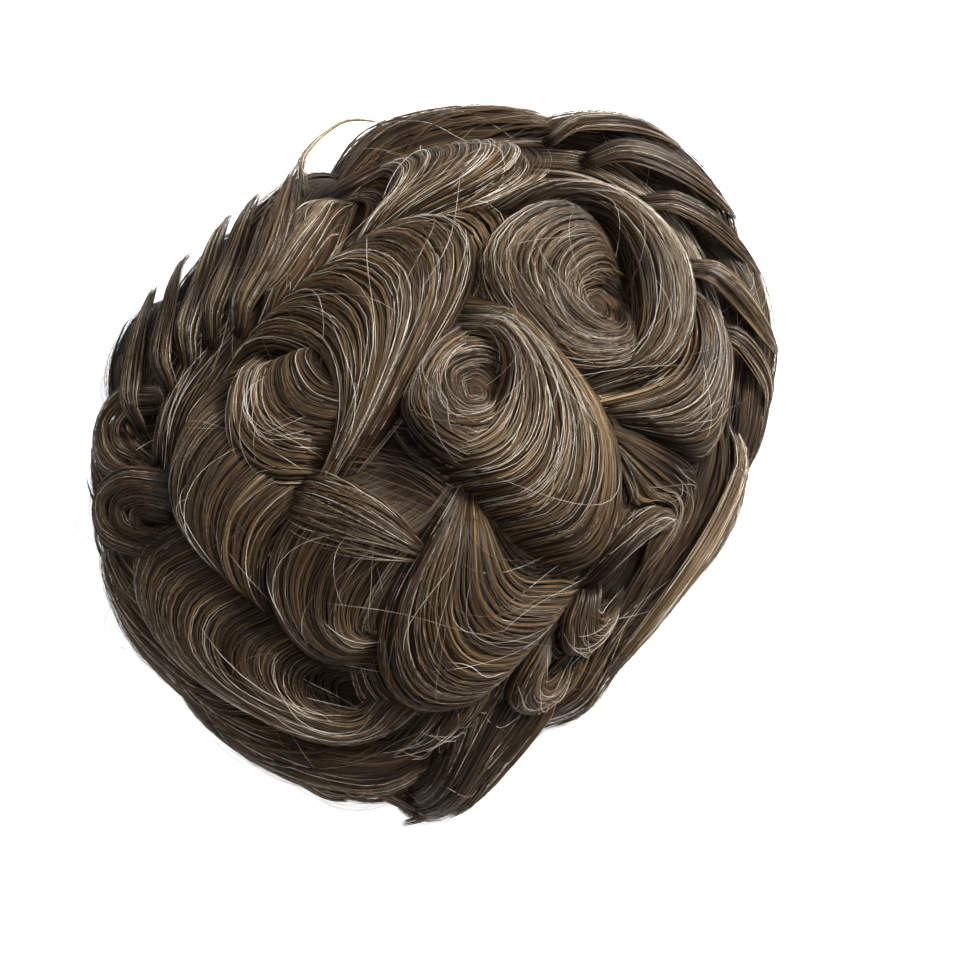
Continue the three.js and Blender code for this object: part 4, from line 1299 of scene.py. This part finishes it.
lines = np.concatenate(flyaways)
radius = draw.uniform(0.035, 0.065, len(lines))
grey = draw.random(len(lines)) < np.where(np.concatenate(outside), 0.2, 0.7)
tone = np.where(grey, draw.uniform(0.85, 1.1, len(lines)), draw.uniform(0.2, 0.6, len(lines)))
strands_piece("flyaway_hairs", lines, radius, np.repeat(tone, HAIR_STATIONS))

# The hairpiece lies on white paper, flat on a table. A large soft key lamp lights it from the upper right of
# the picture, with a weaker lamp over the camera and a pale room. The paper's rough surface is evenly lit.
TABLE_HALF = 3000
floor_corners = np.array([[-1, -1, 0], [1, -1, 0], [1, 1, 0], [-1, 1, 0]], float)
floor = mesh_object("table", floor_corners * TABLE_HALF, [np.array([[0, 1, 2, 3]])])
paper = new_material("white uncoated paper")
paper_shader = add_node(
    paper,
    "ShaderNodeBsdfPrincipled",
    {
        "Base Color": linear("#f7f7f7"),
        "Roughness": 0.9,
        "Emission Color": linear("#ffffff"),
        "Emission Strength": 0.6,
    },
)
add_node(paper, "ShaderNodeOutputMaterial", {"Surface": paper_shader.outputs["BSDF"]})
floor.data.materials.append(paper)

# The camera stands over the back of the hairpiece, a little to its right, and looks down at it.
VIEW_BEARING = np.radians(36)
VIEW_HEIGHT = np.radians(76)
VIEW_DISTANCE = 634.0
back = np.array([
    np.sin(VIEW_BEARING) * np.cos(VIEW_HEIGHT),
    -np.cos(VIEW_BEARING) * np.cos(VIEW_HEIGHT),
    np.sin(VIEW_HEIGHT),
])
right = np.array([np.cos(VIEW_BEARING), np.sin(VIEW_BEARING), 0])
up = np.cross(back, right)
aim = CAP_FOOT + [0, 0, 35 - CAP_FOOT[2]] + right * 16.0 - up * 19.4
camera_data = bpy.data.cameras.new("camera")
camera_data.lens = 70
camera_data.sensor_width = 36
camera_data.clip_start = 0.01
camera = bpy.data.objects.new("camera", camera_data)
bpy.context.scene.collection.objects.link(camera)


def look(piece, place, axes):
    """Puts a camera or light at a place in millimetres, with its right, up and back axes."""
    matrix = np.identity(4)
    matrix[:3, :3] = np.stack(axes, -1)
    matrix[:3, 3] = np.asarray(place) * 0.001
    piece.matrix_world = matrix.T.tolist()


look(camera, aim + back * VIEW_DISTANCE, (right, up, back))
bpy.context.scene.camera = camera


def area_light(name, toward, distance, size, power, color):
    """A square area light that shines on the hairpiece from a direction, given in the picture's axes."""
    out = toward[0] * right + toward[1] * up + toward[2] * back
    out /= np.linalg.norm(out)
    level = np.cross([0.0, 0.0, 1.0], out)
    level /= np.linalg.norm(level)
    data = bpy.data.lights.new(name, "AREA")
    data.size = size
    data.energy = power
    data.color = color
    light = bpy.data.objects.new(name, data)
    bpy.context.scene.collection.objects.link(light)
    look(light, CAP_FOOT + out * distance, (level, np.cross(out, level), out))
    return light


area_light("key", (0.72, 0.6, 0.55), 1100, 0.4, 34.0, (1.0, 0.98, 0.95))
area_light("fill", (0.0, 0.2, 1.0), 1300, 1.2, 10.0, (0.95, 0.98, 1.0))
world = bpy.data.worlds.new("pale room")
world.use_nodes = True
world.node_tree.nodes["Background"].inputs["Color"].default_value = (1, 1, 1, 1)
world.node_tree.nodes["Background"].inputs["Strength"].default_value = 0.33
bpy.context.scene.world = world
bpy.context.scene.view_settings.view_transform = "Standard"
